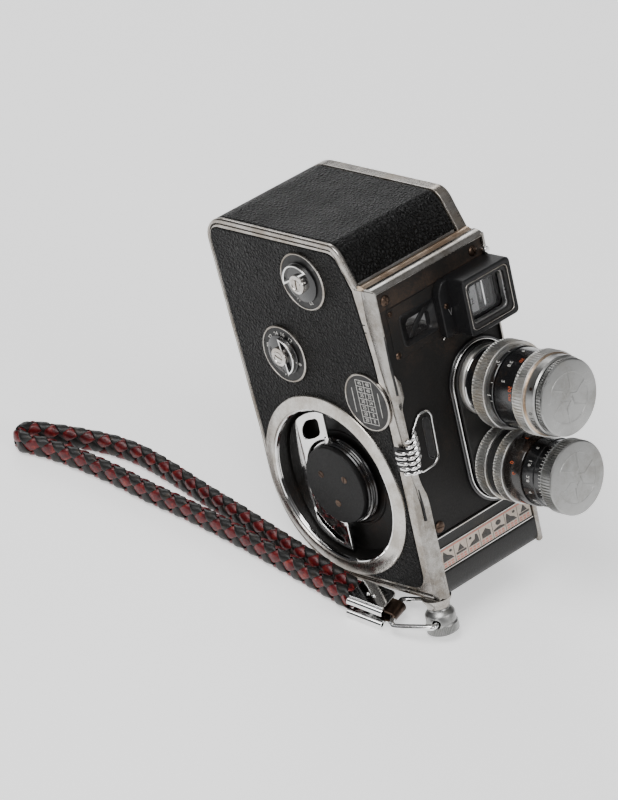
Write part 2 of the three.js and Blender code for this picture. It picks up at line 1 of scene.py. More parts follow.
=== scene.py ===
"""A spring-driven cine camera with a two-lens turret and a braided wrist strap.

Shapes are drawn in millimetres in the camera's own upright frame: +X is the film-door side, -X the
winding side, -Y the lens side and +Z up, with z = 0 under the base. BODY then puts them in the row's
frame, where the camera leans back. The strap is drawn on the ground, and GROUND puts it in place.
"""
import json
import math

import bmesh
import bpy
from mathutils import Matrix, Vector


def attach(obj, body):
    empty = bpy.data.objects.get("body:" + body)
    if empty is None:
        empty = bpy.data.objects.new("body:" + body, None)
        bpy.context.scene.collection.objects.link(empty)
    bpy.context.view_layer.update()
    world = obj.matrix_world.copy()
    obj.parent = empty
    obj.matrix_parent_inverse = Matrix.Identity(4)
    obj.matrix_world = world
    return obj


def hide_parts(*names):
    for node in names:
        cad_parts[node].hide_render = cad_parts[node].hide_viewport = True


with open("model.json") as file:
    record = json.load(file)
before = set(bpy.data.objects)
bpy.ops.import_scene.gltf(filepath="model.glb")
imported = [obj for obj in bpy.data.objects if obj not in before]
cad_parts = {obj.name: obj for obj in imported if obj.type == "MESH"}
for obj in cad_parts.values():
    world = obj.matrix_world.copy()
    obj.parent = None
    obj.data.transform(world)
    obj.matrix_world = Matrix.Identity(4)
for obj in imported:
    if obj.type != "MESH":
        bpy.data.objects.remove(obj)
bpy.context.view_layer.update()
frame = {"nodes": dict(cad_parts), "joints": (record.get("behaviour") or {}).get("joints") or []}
scene = bpy.context.scene
joints = {joint["name"]: joint for joint in frame["joints"]}

# Driving dimensions, in millimetres, as the CAD model has them.
MM = 0.001
HALF_WIDTH = 24.1
DOOR_FACE = 25.2
HEIGHT = 121
BACK = 35.5
BACK_UPRIGHT = 48
REAR_TOP = (39.3, 122.7)
HEEL_Y = 2.5
HEEL_R = 33
FRONT_WALL = -31.6
PLATE_FACE = -35
BEZEL_FACE = -36
LENS_X = 10.9
UPPER_LENS_Z = 63.2
LOWER_LENS_Z = 34.8
HUB = (2.95, 34.4)
HUB_JOINT = Vector((-20, HUB[0], HUB[1]))
UPPER_DIAL = (-3.6, 106.5)
LOWER_DIAL = (13.3, 78.8)
CHART = (-21.7, 68.1)
SCREW = (-21.5, -30.6)
EYEPIECE = (12.8, 92.1)
RING_PLACE = Vector((-21.5, -31.014, 6.55))
LOCK = (0, 30)
DIAL_TOP = -24.75
CHART_TOP = -24.55
LETTER_SINK = 0.01
WINDOW_FACE = -35.28
BLOCK_FACE = -38.25


def body_matrix():
    """From the camera's own frame in millimetres to the row's frame in metres."""
    back = Vector(joints["turret_turn"]["axis"])
    up = Vector(joints["key_fold"]["axis"])
    turn = Matrix((back.cross(up), back, up)).transposed()
    origin = Vector(joints["winding_turn"]["pos_m"]) - turn @ (HUB_JOINT * MM)
    return Matrix.Translation(origin) @ turn.to_4x4() @ Matrix.Scale(MM, 4)


BODY = body_matrix()
GROUND = Matrix.Translation(Vector(joints["ring_swing"]["pos_m"]) - RING_PLACE * MM) @ Matrix.Scale(MM, 4)


# ---------------------------------------------------------------- materials
class Shader:
    """A material whose Principled shader's own sockets hold what doesn't vary."""

    def __init__(self, name, **values):
        self.material = bpy.data.materials.new(name)
        self.material.use_nodes = True
        self.nodes = self.material.node_tree.nodes
        self.links = self.material.node_tree.links
        self.bsdf = self.nodes["Principled BSDF"]
        for socket, value in values.items():
            self.bsdf.inputs[socket.replace("_", " ")].default_value = value
        self.place = self.nodes.new("ShaderNodeTexCoord").outputs["Object"]

    def add(self, kind, values=None, **settings):
        node = self.nodes.new(kind)
        for name, value in settings.items():
            setattr(node, name, value)
        for socket, value in (values or {}).items():
            if isinstance(value, bpy.types.NodeSocket):
                self.links.new(value, node.inputs[socket])
            else:
                node.inputs[socket].default_value = value
        return node

    def stretched(self, x, y, z):
        """The object's own coordinates, scaled by so many per millimetre along each axis."""
        values = {"Vector": self.place, "Scale": (x / MM, y / MM, z / MM)}
        return self.add("ShaderNodeMapping", values).outputs["Vector"]

    def noise(self, per_mm, detail=4, rough=0.55, vector=None):
        values = {"Vector": vector or self.place, "Scale": per_mm if vector else per_mm / MM,
            "Detail": detail, "Roughness": rough}
        return self.add("ShaderNodeTexNoise", values).outputs["Fac"]

    def ramp(self, fac, stops):
        node = self.add("ShaderNodeValToRGB", {"Fac": fac})
        elements = node.color_ramp.elements
        while len(elements) < len(stops):
            elements.new(0.5)
        for element, (at, color) in zip(elements, stops):
            element.position = at
            element.color = (*color, 1)
        return node.outputs["Color"]

    def spread(self, fac, low, high, from_low=0.3, from_high=0.7):
        values = {"Value": fac, "From Min": from_low, "From Max": from_high, "To Min": low,
            "To Max": high}
        return self.add("ShaderNodeMapRange", values).outputs["Result"]

    def maths(self, operation, a, b):
        return self.add("ShaderNodeMath", {0: a, 1: b}, operation=operation).outputs["Value"]

    def color(self, output):
        self.links.new(output, self.bsdf.inputs["Base Color"])

    def roughness(self, output):
        self.links.new(output, self.bsdf.inputs["Roughness"])

    def bump(self, height, depth_mm, strength=1):
        values = {"Height": height, "Distance": depth_mm * MM, "Strength": strength}
        node = self.add("ShaderNodeBump", values)
        self.links.new(node.outputs["Normal"], self.bsdf.inputs["Normal"])


def leather():
    """Coarse pebble grain: rounded cells of about 1.4 mm, with creases between them painted darker as shade.
    """
    s = Shader("leatherette", Roughness=0.4, Specular_IOR_Level=0.2)
    warp = s.add("ShaderNodeTexNoise", {"Vector": s.place, "Scale": 0.9 / MM, "Detail": 2})
    offset = s.add("ShaderNodeVectorMath", {0: warp.outputs["Color"], 1: (0.9 * MM,) * 3},
        operation="MULTIPLY")
    moved = s.add("ShaderNodeVectorMath", {0: s.place, 1: offset.outputs["Vector"]}, operation="ADD")
    cells = s.add("ShaderNodeTexVoronoi", {"Vector": moved.outputs["Vector"], "Scale": 0.72 / MM},
        feature="DISTANCE_TO_EDGE")
    hills = s.spread(cells.outputs["Distance"], 0, 1, 0, 0.4)
    fine = s.noise(2.2, detail=4)
    broad = s.noise(0.05, detail=3)
    s.bump(s.maths("ADD", hills, s.maths("MULTIPLY", fine, 0.6)), 0.75, 1)
    # The colour follows the cells: painted shade in the creases, lighter on the cell tops.
    s.color(s.ramp(hills, [(0, (0.001, 0.001, 0.001)), (0.4, (0.0035, 0.0034, 0.0033)),
        (1, (0.0085, 0.0082, 0.008))]))
    s.roughness(s.spread(broad, 0.34, 0.48))
    return s.material


def worn_metal(name, bright, worn, roughness, wear=0.5, scratch=0.012):
    """Metal whose finish is rubbed to a warmer colour in patches, with fine scratches."""
    s = Shader(name, Metallic=1, Roughness=roughness)
    patches = s.noise(0.11, detail=6, rough=0.65)
    specks = s.noise(1.9, detail=3)
    mixed = s.maths("ADD", patches, s.maths("MULTIPLY", specks, 0.22))
    s.color(s.ramp(mixed, [(0.42 + 0.2 * wear, bright), (0.66 + 0.14 * wear, worn)]))
    lines = s.noise(1, detail=2, vector=s.stretched(0.35, 3.2, 0.35))
    s.roughness(s.spread(s.maths("ADD", patches, s.maths("MULTIPLY", lines, 0.5)), roughness * 0.7,
        min(1, roughness * 1.5), 0.5, 1))
    s.bump(s.noise(2.4, detail=4), scratch, 0.5)
    return s.material


SPECK_WEIGHT = 0.7
WEAR_SCALE = 1.5


def crinkle(name, dark, brown, amount, roughness=0.55, shine=0.22):
    """Fine crinkle paint that is rubbed through to brown here and there."""
    s = Shader(name, Roughness=roughness, Specular_IOR_Level=shine)
    patches = s.noise(0.055, detail=5, rough=0.6)
    specks = s.noise(2.2, detail=4, rough=0.7)
    wear = s.maths("ADD", patches, s.maths("MULTIPLY", specks, SPECK_WEIGHT))
    starts, ends = (1.02 - amount) / WEAR_SCALE, (1.26 - amount) / WEAR_SCALE
    s.color(s.ramp(s.maths("DIVIDE", wear, WEAR_SCALE), [(starts, dark), (ends, brown)]))
    s.roughness(s.spread(specks, roughness - 0.12, roughness + 0.14))
    wrinkles = s.add("ShaderNodeTexVoronoi", {"Vector": s.place, "Scale": 2.6 / MM}, feature="SMOOTH_F1")
    s.bump(s.maths("ADD", wrinkles.outputs["Distance"], specks), 0.05, 0.8)
    return s.material


def enamel(name, color, rubbed, roughness=0.2, rub=0.25):
    """Glossy black finish on turned metal, rubbed a little in patches."""
    s = Shader(name, Roughness=roughness, Coat_Weight=0.35, Coat_Roughness=0.08)
    patches = s.noise(0.16, detail=6, rough=0.7)
    s.color(s.ramp(patches, [(0.62 - 0.3 * rub, color), (0.85 - 0.3 * rub, rubbed)]))
    s.roughness(s.spread(s.noise(0.9, detail=5), roughness * 0.75, roughness * 1.6))
    s.bump(s.noise(3.5, detail=2), 0.004, 0.4)
    return s.material


def printed(name, color, other, roughness=0.5, metallic=0, spread=0.5):
    """A plain printed, painted or filled surface, with a fine grain between its two colours."""
    s = Shader(name, Roughness=roughness, Metallic=metallic)
    grain = s.noise(1.4, detail=6, rough=0.7)
    s.color(s.ramp(grain, [(0.5 - spread * 0.2, color), (0.5 + spread * 0.3, other)]))
    s.roughness(s.spread(s.noise(0.5), roughness * 0.8, min(1, roughness * 1.2)))
    s.bump(grain, 0.006, 0.4)
    return s.material


def lens_glass():
    s = Shader("lens_glass", Roughness=0.02, IOR=1.5, Transmission_Weight=0.9, Coat_Weight=0.5)
    s.color(s.ramp(s.noise(0.02), [(0.3, (0.42, 0.46, 0.55)), (0.7, (0.5, 0.5, 0.56))]))
    return s.material


def pane_glass():
    """The finder's clear front glass, which shows the card and the mask behind it."""
    s = Shader("pane_glass", Roughness=0, IOR=1.35, Transmission_Weight=1, Specular_IOR_Level=0.3)
    s.color(s.ramp(s.noise(0.02), [(0.3, (0.86, 0.87, 0.89)), (0.7, (0.9, 0.9, 0.9))]))
    return s.material


def dark_glass():
    s = Shader("dark_glass", Roughness=0.05, Coat_Weight=1, Coat_Roughness=0.02)
    s.color(s.ramp(s.noise(0.08), [(0.35, (0.006, 0.006, 0.007)), (0.7, (0.02, 0.018, 0.017))]))
    return s.material


def plaited(name, colors, roughness):
    """Leather lace: fine grain along it, rubbed lighter and more orange in patches."""
    s = Shader(name, Roughness=roughness, Coat_Weight=0.12, Coat_Roughness=0.25, Specular_IOR_Level=0.3)
    patches = s.noise(0.42, detail=6, rough=0.7)
    s.color(s.ramp(patches, [(0.34, colors[0]), (0.55, colors[1]), (0.72, colors[2])]))
    fine = s.noise(1, detail=4, vector=s.stretched(3.4, 1.1, 3.4))
    s.roughness(s.spread(fine, roughness * 0.75, roughness * 1.3))
    s.bump(fine, 0.05, 0.7)
    return s.material


LEATHER = leather()
SATIN = worn_metal("satin_nickel", (0.42, 0.40, 0.375), (0.27, 0.24, 0.205), 0.24, 0.5)
BRIGHT = worn_metal("bright_trim", (0.60, 0.59, 0.575), (0.42, 0.38, 0.34), 0.15, 0.65, 0.006)
TRIM = worn_metal("front_trim", (0.34, 0.328, 0.31), (0.19, 0.17, 0.145), 0.2, 0.5, 0.006)
CHROME = worn_metal("chrome", (0.78, 0.78, 0.775), (0.62, 0.60, 0.58), 0.07, 0.9, 0.003)
CAP = worn_metal("cap_aluminium", (0.33, 0.33, 0.323), (0.27, 0.265, 0.25), 0.34, 0.8, 0.006)
NICKEL = worn_metal("lens_nickel", (0.60, 0.595, 0.58), (0.50, 0.46, 0.40), 0.38, 0.8, 0.004)
RING_METAL = worn_metal("winding_ring", (0.54, 0.52, 0.49), (0.38, 0.35, 0.31), 0.24, 0.5)
WORN_ROLL = worn_metal("worn_roll", (0.56, 0.45, 0.35), (0.27, 0.19, 0.13), 0.34, 0.3)
SCREW_METAL = worn_metal("brown_screw", (0.10, 0.068, 0.05), (0.05, 0.034, 0.026), 0.34, 0.2)
STEEL = worn_metal("works_steel", (0.52, 0.52, 0.52), (0.40, 0.38, 0.35), 0.3, 0.6)
ALLOY = worn_metal("works_alloy", (0.46, 0.46, 0.45), (0.36, 0.34, 0.31), 0.42, 0.5)
BRASS = worn_metal("works_brass", (0.62, 0.44, 0.17), (0.42, 0.28, 0.11), 0.28, 0.4)
FRONT_PAINT = crinkle("front_paint", (0.0062, 0.0056, 0.0052), (0.032, 0.0205, 0.014), 0.11)
BAND_PAINT = crinkle("band_paint", (0.008, 0.0066, 0.0057), (0.042, 0.026, 0.017), 0.19)
DISH_PAINT = crinkle("dish_paint", (0.006, 0.0054, 0.005), (0.038, 0.019, 0.012), 0.1, 0.4)
HOOD_PAINT = crinkle("hood_paint", (0.0075, 0.0075, 0.008), (0.03, 0.022, 0.016), 0.06, 0.36)
STRIP_PAINT = crinkle("strip_paint", (0.013, 0.0125, 0.012), (0.05, 0.036, 0.026), 0.06, 0.46, 0.35)
HUB_PAINT = crinkle("hub_paint", (0.0065, 0.0063, 0.0062), (0.02, 0.017, 0.015), 0.02, 0.5)
BLACK = enamel("black_enamel", (0.0065, 0.0065, 0.007), (0.035, 0.022, 0.014), 0.17)
BROWN_BLACK = enamel("brown_black_enamel", (0.011, 0.0088, 0.0078), (0.055, 0.032, 0.02), 0.2, 0.35)
INSIDE = printed("inside_black", (0.004, 0.004, 0.004), (0.009, 0.008, 0.008), 0.7)
DIAL = printed("dial_grey", (0.006, 0.0057, 0.0055), (0.012, 0.0115, 0.011), 0.5, 0.2)
WHITE = printed("white_filling", (0.62, 0.61, 0.58), (0.42, 0.41, 0.39), 0.5, 0, 0.9)
ORANGE = printed("orange_filling", (0.52, 0.10, 0.03), (0.34, 0.07, 0.03), 0.45)
CREAM = printed("guide_cream", (0.50, 0.44, 0.375), (0.33, 0.27, 0.22), 0.42, 0.2, 0.9)
PINK = printed("guide_pink", (0.52, 0.16, 0.12), (0.40, 0.20, 0.16), 0.5)
INK = printed("guide_ink", (0.016, 0.014, 0.013), (0.05, 0.04, 0.034), 0.45)
CARD = printed("finder_card", (0.42, 0.42, 0.42), (0.30, 0.30, 0.30), 0.45)
LENS_GLASS = lens_glass()
PANE_GLASS = pane_glass()
DARK_GLASS = dark_glass()
RED_LACE = plaited("red_lace", [(0.028, 0.0025, 0.003), (0.105, 0.006, 0.008), (0.26, 0.04, 0.025)], 0.34)
BLACK_LACE = plaited("black_lace", [(0.004, 0.004, 0.004), (0.010, 0.0088, 0.0078),
    (0.045, 0.028, 0.018)], 0.42)


# ---------------------------------------------------------------- making pieces
def arc(center, radius, start, end, steps):
    """Points on an arc from one angle to another, in degrees."""
    angles = [math.radians(start + (end - start) * i / steps) for i in range(steps + 1)]
    return [(center[0] + radius * math.cos(a), center[1] + radius * math.sin(a)) for a in angles]


def quadratic(a, b, c, steps):
    points = []
    for i in range(1, steps + 1):
        t = i / steps
        points.append(tuple((1 - t) ** 2 * a[k] + 2 * t * (1 - t) * b[k] + t * t * c[k] for k in (0, 1)))
    return points


def circle(center, radius, steps=64):
    return arc(center, radius, 0, 360, steps)[:-1]


def rounded(a0, a1, b0, b1, radius, steps=6):
    """A rectangle with round corners."""
    loop = []
    for (a, b), start in (((a1 - radius, b0 + radius), -90), ((a1 - radius, b1 - radius), 0),
            ((a0 + radius, b1 - radius), 90), ((a0 + radius, b0 + radius), 180)):
        loop += arc((a, b), radius, start, start + 90, steps)
    return loop


def box(a0, a1, b0, b1):
    return [(a0, b0), (a1, b0), (a1, b1), (a0, b1)]


def smooth_corners(points, radius, steps=5):
    """A closed outline with each of its corners rounded."""
    loop = []
    count = len(points)
    for i in range(count):
        before, here, after = (Vector(points[j % count]) for j in (i - 1, i, i + 1))
        reach = min(radius, (before - here).length * 0.45, (after - here).length * 0.45)
        start = here + (before - here).normalized() * reach
        end = here + (after - here).normalized() * reach
        loop.append(tuple(start))
        loop += quadratic(tuple(start), tuple(here), tuple(end), steps)
    return loop


def table(rows, at):
    """Straight-line interpolation in rows of (place, value)."""
    if at <= rows[0][0]:
        return rows[0][1]
    for (a, va), (b, vb) in zip(rows, rows[1:]):
        if at <= b:
            return va + (vb - va) * (at - a) / (b - a)
    return rows[-1][1]


def new_object(name, mesh):
    if name in frame["nodes"]:
        name += "_finish"
    obj = bpy.data.objects.new(name, mesh)
    scene.collection.objects.link(obj)
    return obj


def mesh_of(curve):
    """The mesh that a curve makes; the curve itself isn't kept."""
    maker = new_object("maker", curve)
    bpy.context.view_layer.update()
    mesh = bpy.data.meshes.new_from_object(maker.evaluated_get(bpy.context.evaluated_depsgraph_get()))
    bpy.data.objects.remove(maker)
    bpy.data.curves.remove(curve)
    return mesh


def signed_area(loop):
    return sum(a[0] * b[1] - b[0] * a[1] for a, b in zip(loop, loop[1:] + loop[:1])) / 2


def slab_mesh(loops, depth, edge, steps=3):
    """A plate from w = 0 to w = depth with rounded edges. After the outline, each loop is a hole."""
    curve = bpy.data.curves.new("outline", "CURVE")
    curve.dimensions = "2D"
    curve.fill_mode = "BOTH"
    curve.extrude = max(depth / 2 - edge, 0)
    curve.bevel_depth = edge
    curve.bevel_resolution = steps
    curve.offset = -edge
    for index, loop in enumerate(loops):
        forward = (signed_area(loop) > 0) == (index == 0)
        ordered = loop if forward else loop[::-1]
        spline = curve.splines.new("POLY")
        spline.points.add(len(ordered) - 1)
        for point, (u, v) in zip(spline.points, ordered):
            point.co = (u, v, 0, 1)
        spline.use_cyclic_u = True
    mesh = mesh_of(curve)
    shaped = bmesh.new()
    shaped.from_mesh(mesh)
    bmesh.ops.remove_doubles(shaped, verts=shaped.verts, dist=0.002)
    bmesh.ops.translate(shaped, verts=shaped.verts, vec=(0, 0, depth / 2))
    bmesh.ops.recalc_face_normals(shaped, faces=shaped.faces)
    shaped.to_mesh(mesh)
    shaped.free()
    return mesh


def side_frame(x):
    """Drawn (u, v, w) lands at (y, z, x + w)."""
    return Matrix(((0, 0, 1, x), (1, 0, 0, 0), (0, 1, 0, 0), (0, 0, 0, 1)))


def face_frame(y):
    """Drawn (u, v, w) lands at (x, z), w in front of the plane y."""
    return Matrix(((1, 0, 0, 0), (0, 0, -1, y), (0, 1, 0, 0), (0, 0, 0, 1)))


def settle(obj, material, body, replaced=(), matrix=None, angle=35, bevel=0, segments=3,
        flat=False):
    """Places a piece in the row's frame, shades it, ties it to its body and hides the CAD nodes it replaces.
    """
    obj.data.transform(BODY if matrix is None else matrix)
    obj.data.update()
    for item in material if isinstance(material, (list, tuple)) else [material]:
        obj.data.materials.append(item)
    obj.data.shade_smooth()
    if bevel:
        modifier = obj.modifiers.new("edge", "BEVEL")
        modifier.width = bevel * MM
        modifier.segments = segments
        modifier.limit_method = "ANGLE"
        modifier.angle_limit = math.radians(angle)
    else:
        obj.data.set_sharp_from_angle(angle=math.radians(angle))
    if bevel or flat:
        weighted = obj.modifiers.new("shading", "WEIGHTED_NORMAL")
        weighted.keep_sharp = True
    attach(obj, body)
    if replaced:
        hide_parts(*replaced)
    return obj


def slab_x(name, loops, x0, x1, edge=0.25, steps=3):
    mesh = slab_mesh(loops, x1 - x0, edge, steps)
    mesh.transform(side_frame(x0))
    return new_object(name, mesh)


def slab_y(name, loops, back, front, edge=0.2, steps=3):
    mesh = slab_mesh(loops, back - front, edge, steps)
    mesh.transform(face_frame(back))
    return new_object(name, mesh)


def finished(shaped, name):
    """A new object from what has been shaped, with its normals facing out."""
    bmesh.ops.recalc_face_normals(shaped, faces=shaped.faces)
    mesh = bpy.data.meshes.new(name)
    shaped.to_mesh(mesh)
    shaped.free()
    return new_object(name, mesh)


def mesh_from(name, rings, closed_path=False, caps=True):
    """A skin over a list of closed rings of points."""
    shaped = bmesh.new()
    rows = [[shaped.verts.new(p) for p in ring] for ring in rings]
    count = len(rows[0])
    for a, b in zip(rows, rows[1:] + rows[:1] * closed_path):
        for i in range(count):
            j = (i + 1) % count
            shaped.faces.new((a[i], a[j], b[j], b[i]))
    if caps and not closed_path:
        shaped.faces.new(rows[0])
        shaped.faces.new(rows[-1])
    return finished(shaped, name)


def on_axis(axis, u, v, h):
    """The point h along the axis and (u, v) across it."""
    return {"X": (h, u, v), "Y": (u, h, v), "Z": (u, v, h)}[axis]


def turned(name, profile, axis, at, segments=96, teeth=0):
    """A turned piece. The profile lists (radius, place along the axis), and a knurl's depth as a third."""
    if teeth:
        segments = teeth * 4
    closed = profile[0][:2] == profile[-1][:2]
    shaped = bmesh.new()
    rings = []
    for r, h, *depth in profile[:-1] if closed else profile:
        if r < 1e-6:
            rings.append([shaped.verts.new(on_axis(axis, *at, h))])
            continue
        cut_depth = depth[0] if depth else 0
        ring = []
        for i in range(segments):
            a = 2 * math.pi * i / segments
            here = r - cut_depth if teeth and i % 4 in (1, 2) else r
            point = on_axis(axis, at[0] + here * math.cos(a), at[1] + here * math.sin(a), h)
            ring.append(shaped.verts.new(point))
        rings.append(ring)
    for a, b in zip(rings, rings[1:] + rings[:1] * closed):
        for i in range(segments):
            j = (i + 1) % segments
            corners = [a[0]] if len(a) == 1 else [a[i], a[j]]
            corners += [b[0]] if len(b) == 1 else [b[j], b[i]]
            if len(corners) > 2:
                shaped.faces.new(corners)
    return finished(shaped, name)


def swept_x(name, profile, x0, x1):
    """A bar along x with the profile given in (y, z)."""
    rings = [[(x, y, z) for y, z in profile] for x in (x0, x1)]
    return mesh_from(name, rings)


def side_piece(name, loops, x0, x1, edge, material, body="camera", replaced=(), steps=3):
    """A plate that lies across x, settled with even shading on its flat faces."""
    return settle(slab_x(name, loops, x0, x1, edge, steps), material, body, replaced, flat=True)


def front_piece(name, loops, back, front, edge, material, body="camera", replaced=(), steps=3):
    """A plate that faces forward, settled with even shading on its flat faces."""
    return settle(slab_y(name, loops, back, front, edge, steps), material, body, replaced, flat=True)


def turned_piece(name, profile, axis, at, material, body="camera", replaced=(), segments=96,
        angle=35):
    """A turned piece, settled on its body."""
    return settle(turned(name, profile, axis, at, segments), material, body, replaced, angle=angle)


def catmull(points, closed, per_span=8):
    """A smooth line through points."""
    vectors = [Vector(p) for p in points]
    count = len(vectors)
    spans = count if closed else count - 1
    line = []
    for i in range(spans):
        if closed:
            p = [vectors[(i + k) % count] for k in (-1, 0, 1, 2)]
        else:
            p = [vectors[min(max(i + k, 0), count - 1)] for k in (-1, 0, 1, 2)]
        for step in range(per_span):
            t = step / per_span
            square = (2 * p[0] - 5 * p[1] + 4 * p[2] - p[3]) * t * t
            cube = (3 * p[1] - p[0] - 3 * p[2] + p[3]) * t ** 3
            line.append(0.5 * (2 * p[1] + (p[2] - p[0]) * t + square + cube))
    if not closed:
        line.append(vectors[-1])
    return line


def wire(name, line, radius, closed=False, sides=16, radii=None):
    """A round wire along a line of points, with no twist."""
    count = len(line)
    tangents = []
    for i in range(count):
        a = line[(i - 1) % count] if closed or i else line[0]
        b = line[(i + 1) % count] if closed or i < count - 1 else line[-1]
        tangents.append((b - a).normalized())
    normal = tangents[0].orthogonal().normalized()
    rings = []
    for i, (point, tangent) in enumerate(zip(line, tangents)):
        normal = (normal - tangent * normal.dot(tangent)).normalized()
        side = tangent.cross(normal)
        r = radii[i] if radii else radius
        rings.append([point + (normal * math.cos(a) + side * math.sin(a)) * r
            for a in (2 * math.pi * k / sides for k in range(sides))])
    return mesh_from(name, rings, closed_path=closed)


def letters(words, size, depth):
    """Plain raised lettering, centred on the origin, as a mesh in (u, v, w)."""
    curve = bpy.data.curves.new("words", "FONT")
    curve.body = words
    curve.size = size
    curve.align_x = "CENTER"
    curve.align_y = "CENTER"
    curve.extrude = depth / 2
    curve.resolution_u = 3
    mesh = mesh_of(curve)
    mesh.transform(Matrix.Translation((0, 0, depth / 2)))
    return mesh


def join(name, meshes):
    """One object from several meshes."""
    shaped = bmesh.new()
    for mesh in meshes:
        shaped.from_mesh(mesh)
    joined = bpy.data.meshes.new(name)
    shaped.to_mesh(joined)
    shaped.free()
    return new_object(name, joined)


def take(obj):
    """The object's mesh, once the object itself isn't wanted."""
    mesh = obj.data
    bpy.data.objects.remove(obj)
    return mesh


def turn_flat(mesh, degrees, u, v):
    """Turns a drawn mesh in its plane, then moves it."""
    mesh.transform(Matrix.Translation((u, v, 0)) @ Matrix.Rotation(math.radians(degrees), 4, "Z"))
    return mesh


def wrap_y(mesh, at, radius, angle, y):
    """Wraps a drawn mesh round a lens barrel: u runs round it from the angle, v along it, w outwards."""
    for vertex in mesh.vertices:
        u, v, w = vertex.co
        a = math.radians(angle) + u / radius
        vertex.co = (at[0] + (radius + w) * math.cos(a), y + v, at[1] + (radius + w) * math.sin(a))
    return mesh


# ---------------------------------------------------------------- casing
SEAM = [(0, -34.9), (40, -34.9), (45, -33.9), (55, -33.2), (67, -32.2), (71, -32.2), (75, -31.2),
    (97, -29.1), (107.6, -29.6)]
HEEL_STEPS = 28
PANEL_HEEL_STEPS = 32


def heel(inset, back_inset, steps):
    """The round behind the base, pulled in by one distance at the base and by another at the back."""
    points = []
    for a in (math.radians(-90 + 90 * k / steps) for k in range(1, steps + 1)):
        width = HEEL_R - inset + (inset - back_inset) * (1 + a / (math.pi / 2))
        points.append((HEEL_Y + width * math.cos(a), HEEL_R + (HEEL_R - inset) * math.sin(a)))
    return points


def front_top(inset):
    """From the top's front end, over the round and down to the worn roll."""
    top = HEIGHT - inset
    curve = quadratic((-18, top), (-22.4 + inset, top), (-24.2 + inset, 115.6 - inset), 12)
    return [(-18, top)] + curve + [(-27.9 + inset, 107.7 - inset)]


def outer_path(inset, steps=HEEL_STEPS):
    """The body's side outline in (y, z), from the front of the base round the back to the front's top."""
    y, z = REAR_TOP[0] - inset, REAR_TOP[1] - inset
    path = [(HEEL_Y, inset)] + arc((HEEL_Y, HEEL_R), HEEL_R - inset, -90, 0, steps)[1:]
    path += [(BACK - inset, BACK_UPRIGHT), (y - 0.1, z - 11 + inset)]
    path += quadratic((y - 0.1, z - 11 + inset), (y + 0.4, z), (y - 10, z - 0.3), 16)
    return path + front_top(inset)


def rim_line(inset, back_inset):
    """The outline pulled in by one distance at the base and top, and by less along the back."""
    y, z = REAR_TOP[0] - back_inset, REAR_TOP[1] - inset
    line = [(HEEL_Y, inset)] + heel(inset, back_inset, HEEL_STEPS)
    line += [(BACK - back_inset, BACK_UPRIGHT), (y - 0.1, z - 7)]
    line += quadratic((y - 0.1, z - 7), (y + 0.1, z - 0.1), (y - 7, z - 0.25), 14)
    return line + front_top(inset)


def side_loop(inset, front=FRONT_WALL):
    return [(front + inset, inset)] + outer_path(inset) + [(front + inset, 107.4 - inset)]


def panel_loop(inset):
    """The leather panel on each side, inside the metal rim and behind the front strip."""
    rim = 3.1 + inset
    back_rim = 1.5 + inset
    top = HEIGHT - rim
    front = -29 + inset
    y, z = REAR_TOP[0] - back_rim, REAR_TOP[1] - rim
    loop = [(HEEL_Y, rim)] + heel(rim, back_rim, PANEL_HEEL_STEPS)
    loop += [(BACK - back_rim, BACK_UPRIGHT), (y, z - 5)]
    loop += quadratic((y, z - 5), (y, z - 0.4), (y - 5, z - 0.5), 10)
    loop.append((-16.4, top))
    loop += quadratic((-16.4, top), (-20.4, top), (-22.1 + inset, 113.6 - inset), 10)
    loop += [(-25.2 + inset, 106.4), (-28 + inset, 84), (-28.9 + inset, 60), (front, 9.5)]
    return loop + quadratic((front, 9.5), (front, rim), (-22.5, rim), 10)


def make_casing():
    """The body on the winding side: the casting, its rim and inlay, and the leather."""
    shell = slab_x("casing", [side_loop(0.8), side_loop(2.6)], -22.4, 20.6, 0.3)
    wall = slab_x("wall", [side_loop(0.8), circle(HUB, 26.8, 96)], -22.6, -21.9, 0.05)
    boss = turned("boss", [(6.6, -31.9), (8, -31.9), (8, -28.6), (6.6, -28.6), (6.6, -31.9)], "Y",
        (LENS_X, UPPER_LENS_Z))
    casing = join("casing", [take(shell), take(wall), take(boss)])
    settle(casing, ALLOY, "camera", ["body_casting"], flat=True)

    rim_path = [(-34.6, 0.15)] + outer_path(0) + [(-28.2, 107.6)]
    inner_path = [(-34.6, 2)] + rim_line(1.95, 1.1)[:-1] + [(-26.2, 107.2), (-27.6, 106.9)]
    side_piece("left_rim", [rim_path + inner_path[::-1]], -HALF_WIDTH, -22.2, 0.72, SATIN,
        steps=5)

    stations = (107, 97, 86, 75, 71, 67, 61, 55, 50, 45, 42.5, 40, 20, 6)
    seam = [(table(SEAM, z) + 0.2, z) for z in stations]
    band = seam + [(-34.4, 2.25)] + rim_line(2.2, 1.25)[:-1] + [(-26.3, 106.9)]
    side_piece("left_inlay", [band, panel_loop(0)], -23.75, -22.3, 0.16, SATIN)
    side_piece("left_groove", [side_loop(1, -34.9), side_loop(2.9, -34.9)], -23.4, -22.3, 0.05, INSIDE)

    side_piece("side_leather", [panel_loop(0.12), circle(HUB, 28.2, 96)], -24.05, -22.5, 0.42, LEATHER,
        "camera", ["side_leather"], steps=4)

    strip_path = outer_path(0.02, 40)
    strip_path[-1] = (-27.4, 108.9)
    strip_path.insert(0, (-29.5, 0.02))
    wrap = leather_strip("wrap_leather", strip_path, -22.05, 20.25, 0.8)
    settle(wrap, LEATHER, "camera", ["wrap_leather"])

    for index, z in enumerate((95.2, 92.6)):
        settle(slab_x(f"seam_mark_{index + 1}", [rounded(-27.9, -26.2, z - 0.22, z + 0.22, 0.15, 3)],
            -23.8, -23.6, 0.05), INSIDE, "camera")


